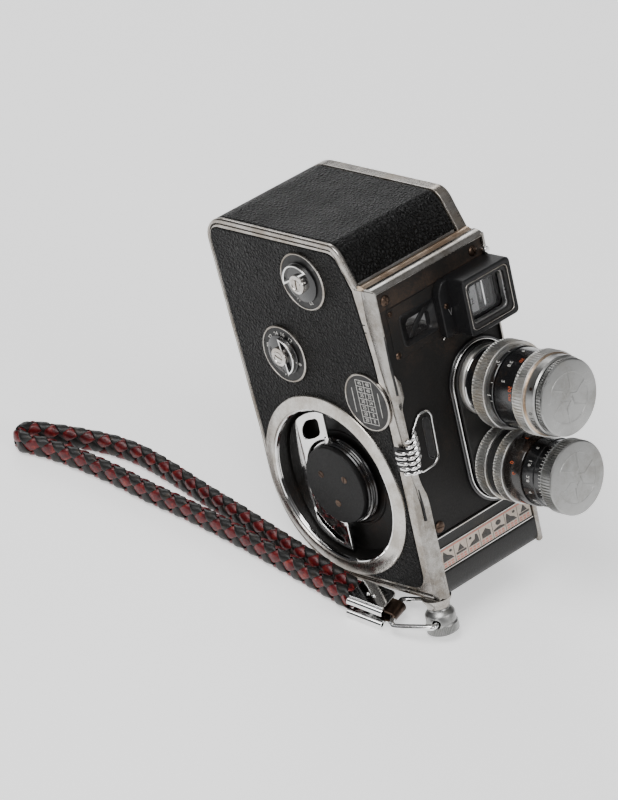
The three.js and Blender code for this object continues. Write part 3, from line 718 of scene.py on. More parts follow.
def leather_strip(name, path, x0, x1, thick):
    """A strip that wraps the body's edge between two places across it, with its sides rounded over."""
    line = []
    for a, b in zip(path, path[1:]):
        length = math.dist(a, b)
        cuts = max(1, round(length / 3.5))
        line += [(a[0] + (b[0] - a[0]) * i / cuts, a[1] + (b[1] - a[1]) * i / cuts) for i in range(cuts)]
    line.append(path[-1])
    side = 0.45
    across = [(x0, -thick)] + [(x0 + side * (1 - math.cos(a)), -side * (1 - math.sin(a)))
        for a in (math.radians(15 * k) for k in range(7))]
    middle = [(x0 + side + (x1 - x0 - 2 * side) * k / 8, 0) for k in range(1, 8)]
    mirrored = [(x0 + x1 - x, lift) for x, lift in across[::-1]]
    section = across + middle + mirrored
    rings = []
    for i, (y, z) in enumerate(line):
        before, after = line[max(i - 1, 0)], line[min(i + 1, len(line) - 1)]
        along = Vector((after[0] - before[0], after[1] - before[1])).normalized()
        out = Vector((along.y, -along.x))
        rings.append([(x, y + out.x * lift, z + out.y * lift) for x, lift in section])
    return mesh_from(name, rings)


def make_door():
    """The film side: a shallow tray with a leather panel, its rim, and the lock in the middle."""
    tray = slab_x("door_tray", [side_loop(0.75)], 20.95, DOOR_FACE - 1, 0.1)
    lip = slab_x("door_lip", [side_loop(0), side_loop(2.6)], 20.9, DOOR_FACE - 0.8, 0.35)
    settle(join("film_door", [take(tray), take(lip)]), SATIN, "door", ["film_door"],
        flat=True)
    front = FRONT_WALL + 0.1
    rim_outer = [(front, 0.1)] + outer_path(0) + [(front, 107.3)]
    rim_inner = [(front + 1.9, 2)] + rim_line(1.95, 1.1) + [(front + 1.9, 105.4)]
    side_piece("door_rim", [rim_outer, rim_inner], DOOR_FACE - 2, DOOR_FACE, 0.72, SATIN, "door",
        steps=5)
    inlay_outer = [(front + 2.1, 2.2)] + rim_line(2.2, 1.25) + [(front + 2.1, 105.2)]
    side_piece("door_inlay", [inlay_outer, panel_loop(0)], DOOR_FACE - 1.7, DOOR_FACE - 0.35, 0.14, SATIN,
        "door")
    side_piece("door_leather", [panel_loop(0.12), circle(LOCK, 9.6)], DOOR_FACE - 1.5, DOOR_FACE - 0.05,
        0.42, LEATHER, "door", ["door_leather"], steps=4)
    face = DOOR_FACE - 0.2
    turned_piece("lock_seat", [(0, face), (9.5, face), (9.5, face - 0.4), (0, face - 0.4)], "X", LOCK,
        INSIDE, "door")

    turned_piece("lock_disc", [(0, 25), (8.8, 25), (9, 25.3), (9, 26.8), (8.8, 27.05), (8.2, 27.3),
        (7.8, 27.15), (7.5, 26.9), (0, 26.9)], "X", LOCK, CHROME, "lock", ["door_lock"],
        segments=128)
    handle_outline = smooth_corners([(-7.2, 28.6), (-6.4, 28.1), (6.4, 28.1), (7.2, 28.6), (7.2, 31.4),
        (6.4, 31.9), (-6.4, 31.9), (-7.2, 31.4)], 0.8)
    side_piece("lock_bar", [handle_outline], 26.8, 28.85, 0.5, BRIGHT, "lock", steps=4)
    for index, angle in enumerate((90, 0)):
        a, reach = math.radians(angle), 14.2
        y, z = LOCK[0] + reach * math.sin(a), LOCK[1] + reach * math.cos(a)
        turned_piece(f"lock_mark_{index + 1}", [(0, DOOR_FACE + 0.1), (0.8, DOOR_FACE + 0.1),
            (0.9, DOOR_FACE), (0.9, face - 0.3), (0, face - 0.3)], "X", (y, z), (ORANGE, WHITE)[index],
            "door", segments=24)


# ---------------------------------------------------------------- front
INNER_LEFT = [(0, -20.3), (33, -20.3), (37, -20.6), (41, -21.8), (44, -22.3), (60, -22.9), (68, -22.9),
    (71, -21.2), (76, -21.2), (80, -23.5), (108, -23.5)]
RIGHT_LIP = [(0, 20.4), (34, 20.8), (44, 22.4), (108, 22.9)]
STATIONS = 120
CORNER = [(0, 3.6), (34, 3.5), (42, 1.6), (60, 1.1), (71, 1.8), (76, 1.6), (82, 0.5), (108, 0.5)]


def left_lip(z):
    return table(INNER_LEFT, z)


def right_lip(z):
    return table(RIGHT_LIP, z)


def left_seam(z):
    return table(SEAM, z) - 0.2


def right_seam(z):
    """The right side's seam is straight, so it's in the same place at every height."""
    return -31.95


def bezel_bar(name, side, z_low, z_high, inner, seam):
    """One upright of the front bezel, from the side seam round the corner to the front plate."""
    rings = []
    for z in (z_low + (z_high - z_low) * i / STATIONS for i in range(STATIONS + 1)):
        lip, back = inner(z), seam(z)
        width = HALF_WIDTH - abs(lip)
        r = min(table(CORNER, z), width - 0.15)
        ring = [(HALF_WIDTH - 1.3, back), (HALF_WIDTH - 0.2, back), (HALF_WIDTH, back - 0.25)]
        ring += [(HALF_WIDTH - r + r * math.cos(a), BEZEL_FACE + r - r * math.sin(a))
            for a in (math.radians(11.25 * k) for k in range(9))]
        ring += [(abs(lip) + 0.15, BEZEL_FACE), (abs(lip), BEZEL_FACE + 0.2),
            (abs(lip), PLATE_FACE + 0.4)]
        ring.append((HALF_WIDTH - 1.3, PLATE_FACE + 0.6))
        rings.append([(side * x, y, z) for x, y in ring])
    return mesh_from(name, rings)


def make_bezel():
    """The metal frame of the front: two uprights, the ridge and the worn roll on top, and the base strip."""
    left = bezel_bar("bezel_left", -1, 0.9, 107.3, left_lip, left_seam)
    settle(left, TRIM, "camera", ["front_bezel"], angle=50)
    right = bezel_bar("bezel_right", 1, 0.9, 107.3, right_lip, right_seam)
    settle(right, TRIM, "camera", angle=50)
    ridge = [(-31, 105), (-31, 107.6), (-31.3, 108), (-31.9, 108.25), (-33.2, 108.2),
        (-34.4, 107.95), (-35.2, 107.55), (-35.8, 107), (-36, 106.7), (-35.9, 106.5), (-35.6, 106.4),
        (-34.6, 106.35), (-34.6, 105)]
    settle(swept_x("bezel_top", ridge, -23.9, 23.9), TRIM, "camera", angle=50,
        bevel=0.12, segments=2)
    roll = [(-26.9, 105.8)] + [(-29.2 + 2.1 * math.cos(a), 106.9 + 1.75 * math.sin(a))
        for a in (math.radians(20 * k) for k in range(1, 9))] + [(-31.3, 105.8)]
    settle(swept_x("worn_roll", roll, -23.6, 23.6), WORN_ROLL, "camera", angle=50)
    foot = [(-31.95, 9.3), (-35.6, 9.3), (-35.85, 9.1), (-35.9, 8.8), (-35.9, 4.3), (-35.6, 2.9),
        (-34.9, 1.7), (-33.8, 0.95), (-32.4, 0.7), (-31.95, 0.7)]
    settle(swept_x("base_strip", foot, -21.4, 21.4), STRIP_PAINT, "camera", angle=50)
    lean = math.radians(52)
    steps = 28
    for place, z0, z1 in (("upper", 92.8, 72.6), ("lower", 39.9, 28.8)):
        line, radii = [], []
        for t in (k / steps for k in range(steps + 1)):
            z = z0 + (z1 - z0) * t
            r = table(CORNER, z)
            x, y = -HALF_WIDTH + r - r * math.cos(lean), BEZEL_FACE + r - r * math.sin(lean)
            line.append(Vector((x, y, z)))
            swell = 0.34 * math.sin(math.pi * min(1, t * 0.62 + 0.1))
            radii.append(0.06 + swell + 0.35 * max(0, t - 0.75))
        settle(wire(f"{place}_edge_slot", line, 0.3, radii=radii), INSIDE, "camera")


def make_front_plate():
    """The painted front: its plates, the metering window and the screws."""
    zs = [21.7, 28, 33, 37, 41, 44, 52, 60, 68, 71, 76, 80, 90, 100, 105.9]
    outline = [(left_lip(z) - 0.1, z) for z in zs[::-1]] + [(20.9, 21.7), (20.9, 34), (22.6, 44),
        (22.8, 105.9)]
    window = rounded(-15.9, 0.4, 85.4, 95.9, 1.9)
    tunnel = rounded(5.9, 19.7, 85.9, 98.3, 0.5)
    lens_hole = circle((LENS_X, UPPER_LENS_Z), 6.5)
    front_piece("front_plate", [outline, window, tunnel, lens_hole], -33.5, PLATE_FACE, 0.1, FRONT_PAINT,
        "camera", ["front_plate"])
    front_piece("front_band", [rounded(-22.9, 22.6, 100.2, 106.3, 0.3)], -34.8, -35.16, 0.08, BAND_PAINT)
    front_piece("window_plate", [rounded(-20.6, 2.9, 82.8, 99.8, 1.6), window], -34.8, WINDOW_FACE,
        0.16, FRONT_PAINT)

    rings = []
    for t, inset, y in ((0, -0.35, -35.3), (0.1, 0, -35.34), (0.25, 0.35, -35.1), (1, 2.5, -34.5)):
        rings.append([(u, y, v) for u, v in rounded(-15.9 + inset, 0.4 - inset * 1.5, 85.4 + inset * 0.6,
            95.9 - inset, 1.9 + 0.2 * t)])
    funnel = mesh_from("window_frame", rings, caps=False)
    thick = funnel.modifiers.new("thick", "SOLIDIFY")
    thick.thickness = 0.25 * MM
    settle(funnel, HOOD_PAINT, "camera", angle=60)
    front_piece("front_window", [rounded(-15.3, -0.2, 86, 95.4, 1.5)], -34, -34.4, 0.1, DARK_GLASS,
        "camera", ["front_window"])
    front_piece("window_blade", [smooth_corners([(-13.4, 87.4), (-12.2, 87), (-5.4, 92.4), (-3.4, 94.6),
        (-4.6, 94.9), (-8.8, 91.9)], 0.8)], -34.35, -34.75, 0.12, HOOD_PAINT)

    screws = {"plate_screw_1": (-20, 103.2, 1.75, 62), "plate_screw_2": (18.6, 103.2, 1.75, 70),
        "plate_screw_3": (-17.8, 24.2, 1.9, 12), "plate_screw_4": (-19.3, 84.1, 1.15, 80)}
    for name, (x, z, r, angle) in screws.items():
        slotted_screw(name, x, z, PLATE_FACE - 0.15, r, angle, [name])
    slotted_screw("window_screw", -19.3, 98.2, WINDOW_FACE, 0.95, 35, [])
    slotted_screw("finder_screw", 0.9, 92.6, BLOCK_FACE + 0.05, 0.95, 35, [])


def slotted_screw(name, x, z, y, r, angle, replaced):
    """A low domed screw head with a sawn slot, facing forward."""
    profile = [(0, y), (r, y), (r, y - 0.16), (r * 0.86, y - 0.36), (r * 0.5, y - 0.48), (0, y - 0.52)]
    head = turned(name, profile, "Y", (x, z), 32)
    cutter = slab_y("cutter", [rounded(-r * 1.2, r * 1.2, -r * 0.14, r * 0.14, 0.02, 1)], y - 0.22,
        y - 0.9, 0.01)
    turn = Matrix.Translation((x, 0, z)) @ Matrix.Rotation(math.radians(angle), 4, "Y")
    cutter.data.transform(turn)
    cut(head, cutter)
    settle(head, SCREW_METAL, "camera", replaced)


def cut(obj, cutter):
    """Cuts one closed mesh out of another and throws the cutter away."""
    modifier = obj.modifiers.new("cut", "BOOLEAN")
    modifier.object = cutter
    modifier.operation = "DIFFERENCE"
    modifier.solver = "EXACT"
    bpy.context.view_layer.update()
    result = bpy.data.meshes.new_from_object(obj.evaluated_get(bpy.context.evaluated_depsgraph_get()))
    obj.modifiers.clear()
    obj.data = result
    bpy.data.objects.remove(cutter)


CARD_FACE = -35.34


def printed_box(x0, x1, z0, z1, corner):
    """A box printed on the guide's card."""
    return slab_y("box", [rounded(x0, x1, z0, z1, corner, 1)], CARD_FACE, CARD_FACE - 0.04, 0.01)


def make_guide_plate():
    """The exposure guide under the lenses: a blank title strip over a row of little weather pictures."""
    front_piece("guide_plate", [rounded(-20.4, 20.4, 9.7, 21.3, 0.2)], -34.2, -35.25, 0.08, STRIP_PAINT,
        "camera", ["guide_plate"])
    for index, z in enumerate((21, 17.15, 9.75)):
        front_piece(f"guide_line_{index + 1}", [rounded(-20.4, 20.4, z - 0.22, z + 0.22, 0.1, 2)], -35.2,
            -35.6, 0.1, BRIGHT)
    front_piece("guide_card", [rounded(-20.1, 20.1, 10.2, 16.7, 0.1, 2)], -35.2, CARD_FACE, 0.04, CREAM)
    bars = [printed_box(-20, 20, 16.15, 16.6, 0.05)]
    ink = []
    cells = 7
    width = 40 / cells
    for i in range(cells):
        x0 = -20 + width * i
        ink.append(printed_box(x0 - 0.09, x0 + 0.09, 10.3, 16.1, 0.02))
        for outline in GUIDE_PICTURES[i % len(GUIDE_PICTURES)]:
            loop = [(x0 + 0.4 + u * (width - 0.8), 12.3 + v * 3.5) for u, v in outline]
            ink.append(slab_y("shape", [loop], CARD_FACE, CARD_FACE - 0.05, 0.01))
        for row in range(2):
            for column in range(3):
                u = x0 + 0.55 + column * (width - 0.9) / 3
                v = 10.45 + row * 0.85
                bars.append(printed_box(u, u + 1.15, v, v + 0.55, 0.05))
    settle(join("guide_prints", [take(obj) for obj in ink]), INK, "camera")
    settle(join("guide_cells", [take(obj) for obj in bars]), PINK, "camera")


# Each picture is a list of outlines in a unit square.
GUIDE_PICTURES = [
    [[(0, 0), (1, 0), (0.75, 0.35), (0.45, 0.55), (0.15, 1), (0.05, 0.6)], circle((0.78, 0.78), 0.13, 12)],
    [box(0.05, 0.95, 0, 0.2), [(0.2, 0.26), (0.5, 0.9), (0.8, 0.26)]],
    [[(0, 0), (1, 0), (0.9, 0.8), (0.72, 0.9), (0.62, 0.45), (0.3, 0.3)], circle((0.26, 0.76), 0.12, 12)],
    [[(0.1, 0), (0.9, 0), (0.9, 0.45), (0.5, 0.85), (0.1, 0.45)]],
    [[(0, 0), (1, 0), (1, 0.16), (0.55, 0.3), (0, 0.16)], circle((0.5, 0.66), 0.24, 16)],
]


# ---------------------------------------------------------------- winding side
def make_winding():
    """The winding well with its bezel, and the hub that turns in it with the key."""
    turned_piece("winding_bezel", [(26.6, -24), (31.25, -24), (31.25, -24.7), (31, -25), (30.2, -25.25),
        (27.4, -25.8), (27, -25.75), (26.6, -25.2), (26.6, -24)], "X", HUB, RING_METAL, "camera",
        ["winding_bezel"], segments=192, angle=25)
    turned_piece("winding_dish", [(5, -17.3), (26.4, -17.3), (26.55, -17.8), (26.55, -24.7), (26, -24.7),
        (25.7, -19.6), (25.2, -18.5), (24, -18.2), (16.6, -18.2), (16.3, -18.6), (15.9, -18.6),
        (15.6, -18.2), (5, -18.2), (5, -17.3)], "X", HUB, DISH_PAINT, "camera", ["winding_dish"],
        segments=160, angle=40)
    turned_piece("dish_lip", [(25.95, -24.2), (26.75, -24.2), (26.75, -25.3), (26.4, -25.5), (26.1, -25.3),
        (25.95, -24.2)], "X", HUB, CHROME, segments=160, angle=40)

    turned_piece("hub_collar", [(0, -19.6), (14.4, -19.6), (14.6, -19.9), (14.6, -20.3), (14.3, -20.6),
        (13.9, -20.7), (13.7, -21), (13.7, -22.6), (13.4, -23), (0, -23)], "X", HUB, BLACK, "winding",
        angle=30)
    turned_piece("hub_line", [(13.6, -21.3), (14.05, -21.3), (14.15, -21.5), (14.05, -21.75),
        (13.6, -21.75), (13.6, -21.3)], "X", HUB, CHROME, "winding")
    turned_piece("key_hub", [(0, -23), (12.9, -23), (13.2, -23.3), (13.2, -24.5), (13, -24.85), (12.4, -25),
        (0, -25)], "X", HUB, HUB_PAINT, "winding", ["key_hub"], angle=30)
    for index, angle in enumerate((30, 150, 270)):
        a = math.radians(angle)
        hub_screw(f"hub_screw_{index + 1}", HUB[0] + 6.2 * math.cos(a), HUB[1] + 6.2 * math.sin(a),
            40 + 65 * index)
    turned_piece("winding_shaft", [(0, -19.3), (4.6, -19.3), (4.6, -16.8), (3, -16.6), (3, -7), (0, -7)],
        "X", HUB, STEEL, "winding", ["winding_shaft"], segments=48)
    make_key()


def hub_screw(name, y, z, angle):
    """A flat screw head with a sawn slot, facing out of the winding side."""
    head = turned(name, [(0, -24.9), (1.25, -24.9), (1.25, -25.05), (1.1, -25.18), (0, -25.22)], "X",
        (y, z), 32)
    cutter = slab_x("cutter", [rounded(-1.6, 1.6, -0.2, 0.2, 0.02, 1)], -25.6, -25.06, 0.01)
    cutter.data.transform(Matrix.Translation((0, y, z)) @ Matrix.Rotation(math.radians(angle), 4, "X"))
    cut(head, cutter)
    settle(head, SCREW_METAL, "winding")


FLANK = 14.2
BEND = 1.2
FLANK_SLOPE = 0.8 * math.tan(math.radians(14))


def make_key():
    """The fold-out winding key: half a ring of polished sheet with two holes, its far flank bent inward."""
    outer, inner, edge = 24.7, 14.9, 1.2
    outer_start, inner_start = (math.degrees(math.acos(edge / r)) for r in (outer, inner))
    outline = arc((0, 0), outer, -outer_start, outer_start, 64)
    outline += arc((0, 0), inner, inner_start, -inner_start, 48)
    upper_hole = smooth_corners([(4.4, 16.2), (8.6, 13.9), (13.1, 12.9), (13.4, 16.1), (10.4, 19.8),
        (4.3, 21.8)], 1.7)
    lower_slot = smooth_corners([(4.6, -22.6), (4.4, -20.9), (7, -19.8), (11.6, -16.8), (14.6, -13.4),
        (15.9, -14.4), (13.2, -17.9), (8.6, -21.5)], 0.9)
    key = slab_x("winding_key", [outline, upper_hole, lower_slot], -22.55, -21.35, 0.35, 4)
    shaped = bmesh.new()
    shaped.from_mesh(key.data)
    for u in (6, 9, 12, FLANK, FLANK + BEND, 17, 20):
        geometry = shaped.verts[:] + shaped.edges[:] + shaped.faces[:]
        bmesh.ops.bisect_plane(shaped, geom=geometry, plane_co=(0, u, 0), plane_no=(0, 1, 0))
    for vertex in shaped.verts:
        beyond = vertex.co.y - FLANK
        if beyond > 0:
            eased = beyond ** 2 / (2 * BEND) if beyond < BEND else beyond - BEND / 2
            vertex.co.x += FLANK_SLOPE * eased
        vertex.co.y += HUB[0]
        vertex.co.z += HUB[1]
    shaped.to_mesh(key.data)
    shaped.free()
    settle(key, CHROME, "key", ["winding_key"], angle=28)
    pin_profile = [(0, 8.9), (1, 8.9), (1, 15.6), (0.8, 15.8), (0, 15.8)]
    for end in ("lower", "upper"):
        pin = turned(f"key_pivot_{end}", pin_profile, "Z", (-21.95, HUB[0] + 2), 32)
        if end == "lower":
            pin.data.transform(Matrix.Scale(-1, 4, (0, 0, 1)))
            pin.data.flip_normals()
        pin.data.transform(Matrix.Translation((0, 0, HUB[1])))
        settle(pin, CHROME, "key")


def mirrored_letters(words, size, depth):
    """Lettering mirrored in u, so that it reads right in winding_frame."""
    mesh = letters(words, size, depth)
    mesh.transform(Matrix.Scale(-1, 4, (1, 0, 0)))
    mesh.flip_normals()
    return mesh


def winding_frame(x, y, z):
    """Drawn (u, v, w) lands at (y + u, z + v), w outside the plane x on the winding side."""
    return Matrix(((0, 0, -1, x), (1, 0, 0, y), (0, 1, 0, z), (0, 0, 0, 1)))


def make_dials():
    """The two dials on the winding side, each with a plate, an edge, numerals and a knob."""
    bulge = {"upper": 65, "lower": 172}
    places = {"upper": UPPER_DIAL, "lower": LOWER_DIAL}
    numerals = {"upper": [("16", -62), ("32", -108)], "lower": [("8", -160), ("12", 128), ("16", 100),
        ("24", 76), ("32", 48), ("48", 16), ("64", -84)]}
    for name, (y, z) in places.items():
        at = (y, z)
        turned_piece(f"{name}_dial_plate", [(2.2, -23.9), (9.5, -23.9), (9.5, -24.55), (9.3, -24.75),
            (2.2, -24.75), (2.2, -23.9)], "X", at, DIAL, "camera", [f"{name}_dial_plate"],
            segments=128)
        turned_piece(f"{name}_dial_edge", [(9.05, -24.6), (9.75, -24), (9.75, -24.7), (9.5, -24.9),
            (9.2, -24.9), (9.05, -24.6)], "X", at, SATIN, segments=128)
        marks = []
        for words, angle in numerals[name]:
            a = math.radians(angle)
            mesh = mirrored_letters(words, 2.05, 0.05)
            turn_flat(mesh, angle - 90, 7 * math.cos(a), 7 * math.sin(a))
            mesh.transform(winding_frame(DIAL_TOP + LETTER_SINK, y, z))
            marks.append(mesh)
        settle(join(f"{name}_dial_numerals", marks), WHITE, "camera")
        make_dial_knob(name, at, bulge[name])


def make_dial_knob(name, at, bulge):
    """A slotted cap over a half-moon grip: a polished wall round a black well, on a black base."""
    body = f"{name}_dial"
    direction = math.radians(bulge)
    turn = Matrix.Translation((0, at[0], at[1])) @ Matrix.Rotation(direction, 4, "X")
    moon = arc((0, 0), 6.5, -74, 74, 14)
    inner = arc((0, 0), 5.9, -66, 66, 14)
    wall = slab_x(f"{name}_dial_grip", [moon, inner], -27.1, -25.3, 0.2)
    wall.data.transform(turn)
    settle(wall, CHROME, body, flat=True)
    well = slab_x(f"{name}_dial_well", [arc((0, 0), 6.2, -72, 72, 24)], -26.2, -25.3, 0.05)
    well.data.transform(turn)
    settle(well, BLACK, body, flat=True)
    turned_piece(f"{name}_dial_base", [(1.8, -24.85), (6.5, -24.85), (6.7, -25), (6.7, -25.3), (6.4, -25.5),
        (1.8, -25.5), (1.8, -24.85)], "X", at, BLACK, body, segments=96)
    cap = turned(f"{name}_dial_knob", [(0, -20.6), (1.8, -20.6), (1.8, -25), (2.6, -25.1), (3.2, -25.4),
        (3.25, -26.9), (3.1, -27.3), (2.7, -27.45), (2.1, -27.45), (1.95, -27.25), (1.75, -27.25),
        (1.6, -27.4), (0, -27.45)], "X", at, 64)
    cutter = slab_x("cutter", [rounded(-1.7, 1.7, -0.36, 0.36, 0.03, 1)], -28.5, -26.8, 0.01)
    across = Matrix.Rotation(direction + 0.5, 4, "X")
    cutter.data.transform(Matrix.Translation((0, at[0], at[1])) @ across)
    cut(cap, cutter)
    settle(cap, BRIGHT, body, [f"{name}_dial_knob"], angle=30)


def make_chart():
    """The exposure chart let into the front of the leather: a ruled table with two side bars."""
    turned_piece("chart_disc", [(0, -24.55), (9.4, -24.55), (9.5, -24.4), (9.5, -23.8), (0, -23.8)], "X",
        CHART, DIAL, "camera", ["chart_disc"], segments=128)
    turned_piece("chart_edge", [(9.2, -24.5), (9.85, -23.9), (9.85, -24.5), (9.6, -24.7), (9.3, -24.7),
        (9.2, -24.5)], "X", CHART, SATIN, segments=128)
    lines = []

    def bar(u0, u1, v0, v1):
        loop = box(CHART[0] + u0, CHART[0] + u1, CHART[1] + v0, CHART[1] + v1)
        lines.append(slab_x("bar", [loop], CHART_TOP - 0.07, CHART_TOP + LETTER_SINK, 0.01))

    left, right, low, high = -3.5, 3.5, -7.4, 7.4
    rows = 7
    for u in (left, 0, right):
        bar(u - 0.09, u + 0.09, low, high)
    for k in range(rows + 1):
        v = low + (high - low) * k / rows
        bar(left, right, v - 0.08, v + 0.08)
    for u in (-5.9, 5.9):
        bar(u - 0.12, u + 0.12, -4.2, 4.2)
    marks = [take(obj) for obj in lines]
    for k in range(rows):
        v = low + (high - low) * (k + 0.5) / rows
        pair = ("8", "20") if k == 0 else (str(8 * k), str(15 + 5 * k))
        for words, u in zip(pair, (-1.75, 1.75)):
            mesh = mirrored_letters(words, 1.7, 0.04)
            mesh.transform(winding_frame(CHART_TOP + LETTER_SINK, CHART[0] + u, CHART[1] + v))
            marks.append(mesh)
    settle(join("chart_rules", marks), WHITE, "camera")


# ---------------------------------------------------------------- release
RIBS = 7
LAST_SIDE_RIB = RIBS - 3


def make_release():
    """The release on the front corner: a rounded plate with a slot, and a ribbed button round the edge."""
    plate = smooth_corners([(-11.8, 61.2), (-12.3, 46.3), (-14.6, 44.6), (-21.2, 44.3), (-21.6, 58.4),
        (-16.9, 63.6), (-13.2, 63.4)], 1.7)
    inner = smooth_corners([(-12.4, 60.9), (-12.9, 46.9), (-14.8, 45.3), (-20.5, 45), (-20.9, 58.2),
        (-16.7, 62.7), (-13.5, 62.6)], 1.4)
    front_piece("release_plate", [plate], -34.9, -35.6, 0.2, FRONT_PAINT, "camera", ["release_plate"],
        steps=4)
    front_piece("release_edge", [plate, inner], -35.3, -35.95, 0.22, CHROME, steps=4)
    slot_loop = smooth_corners([(-16.4, 60.9), (-14.6, 61.7), (-12.9, 60.2), (-13.5, 47.6), (-14.7, 46.6),
        (-16.6, 48)], 1.2)
    middle_u, middle_v = -14.8, 54.2
    inner_loop = [(middle_u + (u - middle_u) * 0.76, middle_v + (v - middle_v) * 0.93)
        for u, v in slot_loop]
    front_piece("release_slot", [slot_loop, inner_loop], -35.5, -35.85, 0.12, BLACK)
    front_piece("release_slot_floor", [inner_loop], -35.4, -35.68, 0.05, INSIDE)

    core = [(-24.95, -29.9), (-24.95, -34.9), (-23.6, -36.5), (-20.8, -36.5), (-20.8, -36.2),
        (-24.5, -36.15), (-24.7, -29.9)]
    rings = [[(x, y, z) for x, y in core] for z in (46, 54.6)]
    settle(mesh_from("release_core", rings), HOOD_PAINT, "release", ["release_button"])
    for k in range(RIBS):
        share = k / (RIBS - 1)
        z = 45.9 + 10.9 * share
        belly = math.sin(math.pi * min(1, (k + 0.9) / (RIBS + 0.6)))
        bow = 0.35 + 0.55 * belly
        side, face = -24.6 - bow, -36.2 - bow
        back = -32.6 + 2.6 * max(0, belly - 0.25)
        rise = 0.5 + 1.7 * min(1, share * 2)
        tip = -20.1 - 1.9 * max(0, 0.35 - share) / 0.35
        corner = 2.2
        scale = [(side + 0.35, back, z - 0.3), (side, back - 1.2, z - 0.15), (side + 0.15, -34.2, z),
            (side + 0.9, -35.2, z)]
        bend = [(side + 0.7, face + 1.35, z), (side + corner * 0.7, face + 0.5, z + 0.05),
            (side + corner + 0.4, face + 0.1, z + 0.15)]
        halfway = ((side + corner + tip) / 2, face, z + rise * 0.45)
        tooth = [(side + corner + 0.2, face + 0.15, z + 0.1), halfway, (tip, face + 0.6, z + rise)]
        for part, points in (("side", scale), ("corner", bend), ("front", tooth)):
            if part == "side" and k > LAST_SIDE_RIB:
                continue
            line = catmull(points, False, 6)
            reach = len(line) - 1
            radii = [0.7 * (math.sin(math.pi * (0.1 + 0.8 * i / reach)) ** 0.6) for i in range(len(line))]
            settle(wire(f"release_rib_{k + 1}_{part}", line, 0.6, radii=radii), CHROME, "release")


# ---------------------------------------------------------------- viewfinder
def make_finder():
    """The viewfinder: a stepped hood round its glass, the tube through the body and the eyepiece."""
    outer = smooth_corners(box(3.4, 24.4, 81.6, 100.7), 1.9)
    mouth = smooth_corners(box(4.6, 22.9, 83.4, 99), 1.8)
    front_piece("finder_housing", [outer, mouth], -35.3, -44.9, 0.55, HOOD_PAINT, "camera",
        ["finder_housing"], steps=5)
    front_piece("finder_block", [smooth_corners([(-1.2, 82.2), (3.9, 82.2), (3.9, 100.7), (1.2, 100.7),
        (-1.2, 97.4)], 1.3)], -35.2, BLOCK_FACE, 0.45, HOOD_PAINT, steps=4)
    for name, grow, y0, y1, material in (("finder_rim", 0.2, -44.2, -44.8, SATIN),
            ("finder_step", 0.55, -43.2, -44.35, INSIDE), ("finder_bevel", 1, -41.4, -43.3, STEEL),
            ("finder_mask", 2.1, -37.6, -40.2, HOOD_PAINT)):
        width = 0.3 if name == "finder_rim" else 1.1
        step = [box(4.2 + inset, 23.1 - inset, 83 + inset, 99.2 - inset) for inset in (grow, grow + width)]
        loops = [smooth_corners(step[0], 2), smooth_corners(step[1], 1.8)]
        front_piece(name, loops, y0, y1, 0.15, material)
    front_piece("finder_front_glass", [smooth_corners(box(5.4, 22, 84.2, 98.2), 1.6)], -40.3, -41.3, 0.2,
        PANE_GLASS, "camera", ["finder_front_glass"])
    front_piece("finder_card", [smooth_corners([(6.6, 87), (12.6, 86.4), (12.6, 96.2), (6.6, 97)], 0.3)],
        -39.2, -39.4, 0.04, CARD)
    rows = (("8", 94.2), ("12", 90.2))
    numbers = [turn_flat(letters(words, 3, 0.05), 0, 9.6, v) for words, v in rows]
    for mesh in numbers:
        mesh.transform(face_frame(-39.42))
    settle(join("finder_card_numerals", numbers), INK, "camera")
    # A thin chrome strip set in the finder to give its bright vertical glint: painted reflection.
    front_piece("finder_glint_strip", [rounded(15.3, 15.95, 86.2, 97.6, 0.25, 3)], -38.9, -39.3, 0.1, CHROME)
    # A dark glass sheet behind the card, set where the finder's tube shows only shade: painted shade.
    front_piece("finder_shade_sheet", [rounded(6.2, 21.6, 84.8, 97.6, 0.5)], -37.4, -37.7, 0.05, DARK_GLASS)
    strokes = [[(1.4, 91.2), (1.75, 91.2), (2.25, 89.6), (2.1, 89.2)],
        [(3.1, 91.2), (2.75, 91.2), (2.1, 89.2), (2.25, 88.9)]]
    marks = [slab_y("mark", [loop], BLOCK_FACE + 0.05, BLOCK_FACE - 0.07, 0.02) for loop in strokes]
    settle(join("finder_index", [take(obj) for obj in marks]), STEEL, "camera")
    turned_piece("finder_stud", [(0, -35.1), (1.15, -35.1), (1.15, -37.4), (0.95, -37.75), (0, -37.8)], "Y",
        (22.5, 102.3), CHROME, segments=48)
    crease = [Vector((x, -35.5, z)) for x, z in ((-0.6, 81.2), (0.9, 82.2), (2.4, 81.3), (4.6, 80.9))]
    settle(wire("finder_crease", catmull(crease, False, 6), 0.18), BRIGHT, "camera")
    tube_out = rounded(6, 19.6, 86, 98.2, 0.6)
    tube_in = rounded(6.8, 18.8, 86.8, 97.4, 0.5)
    front_piece("finder_tube", [tube_out, tube_in], 32.4, -34.6, 0.1, INSIDE, "camera", ["finder_tube"])

    settle(turned("finder_eyepiece", [(4, 34), (4.9, 34), (4.9, 38.2), (7.2, 38.2), (7.4, 38.5, 0),
        (7.4, 38.8, 0.22), (7.4, 40.1, 0.22), (7.2, 40.5), (6.4, 41.3), (5.4, 41.6), (4.6, 41.3), (4, 40.3),
        (4, 34)], "Y", EYEPIECE, teeth=48), BLACK, "camera", ["finder_eyepiece"], angle=30)
    turned_piece("eyepiece_glass", [(0, 39.2), (4.05, 38.8), (4.05, 37), (0, 37)], "Y", EYEPIECE,
        DARK_GLASS, segments=48)


# ---------------------------------------------------------------- turret and lenses
def obround(r, steps=36):
    return arc((LENS_X, UPPER_LENS_Z), r, 0, 180, steps) + arc((LENS_X, LOWER_LENS_Z), r, 180, 360, steps)


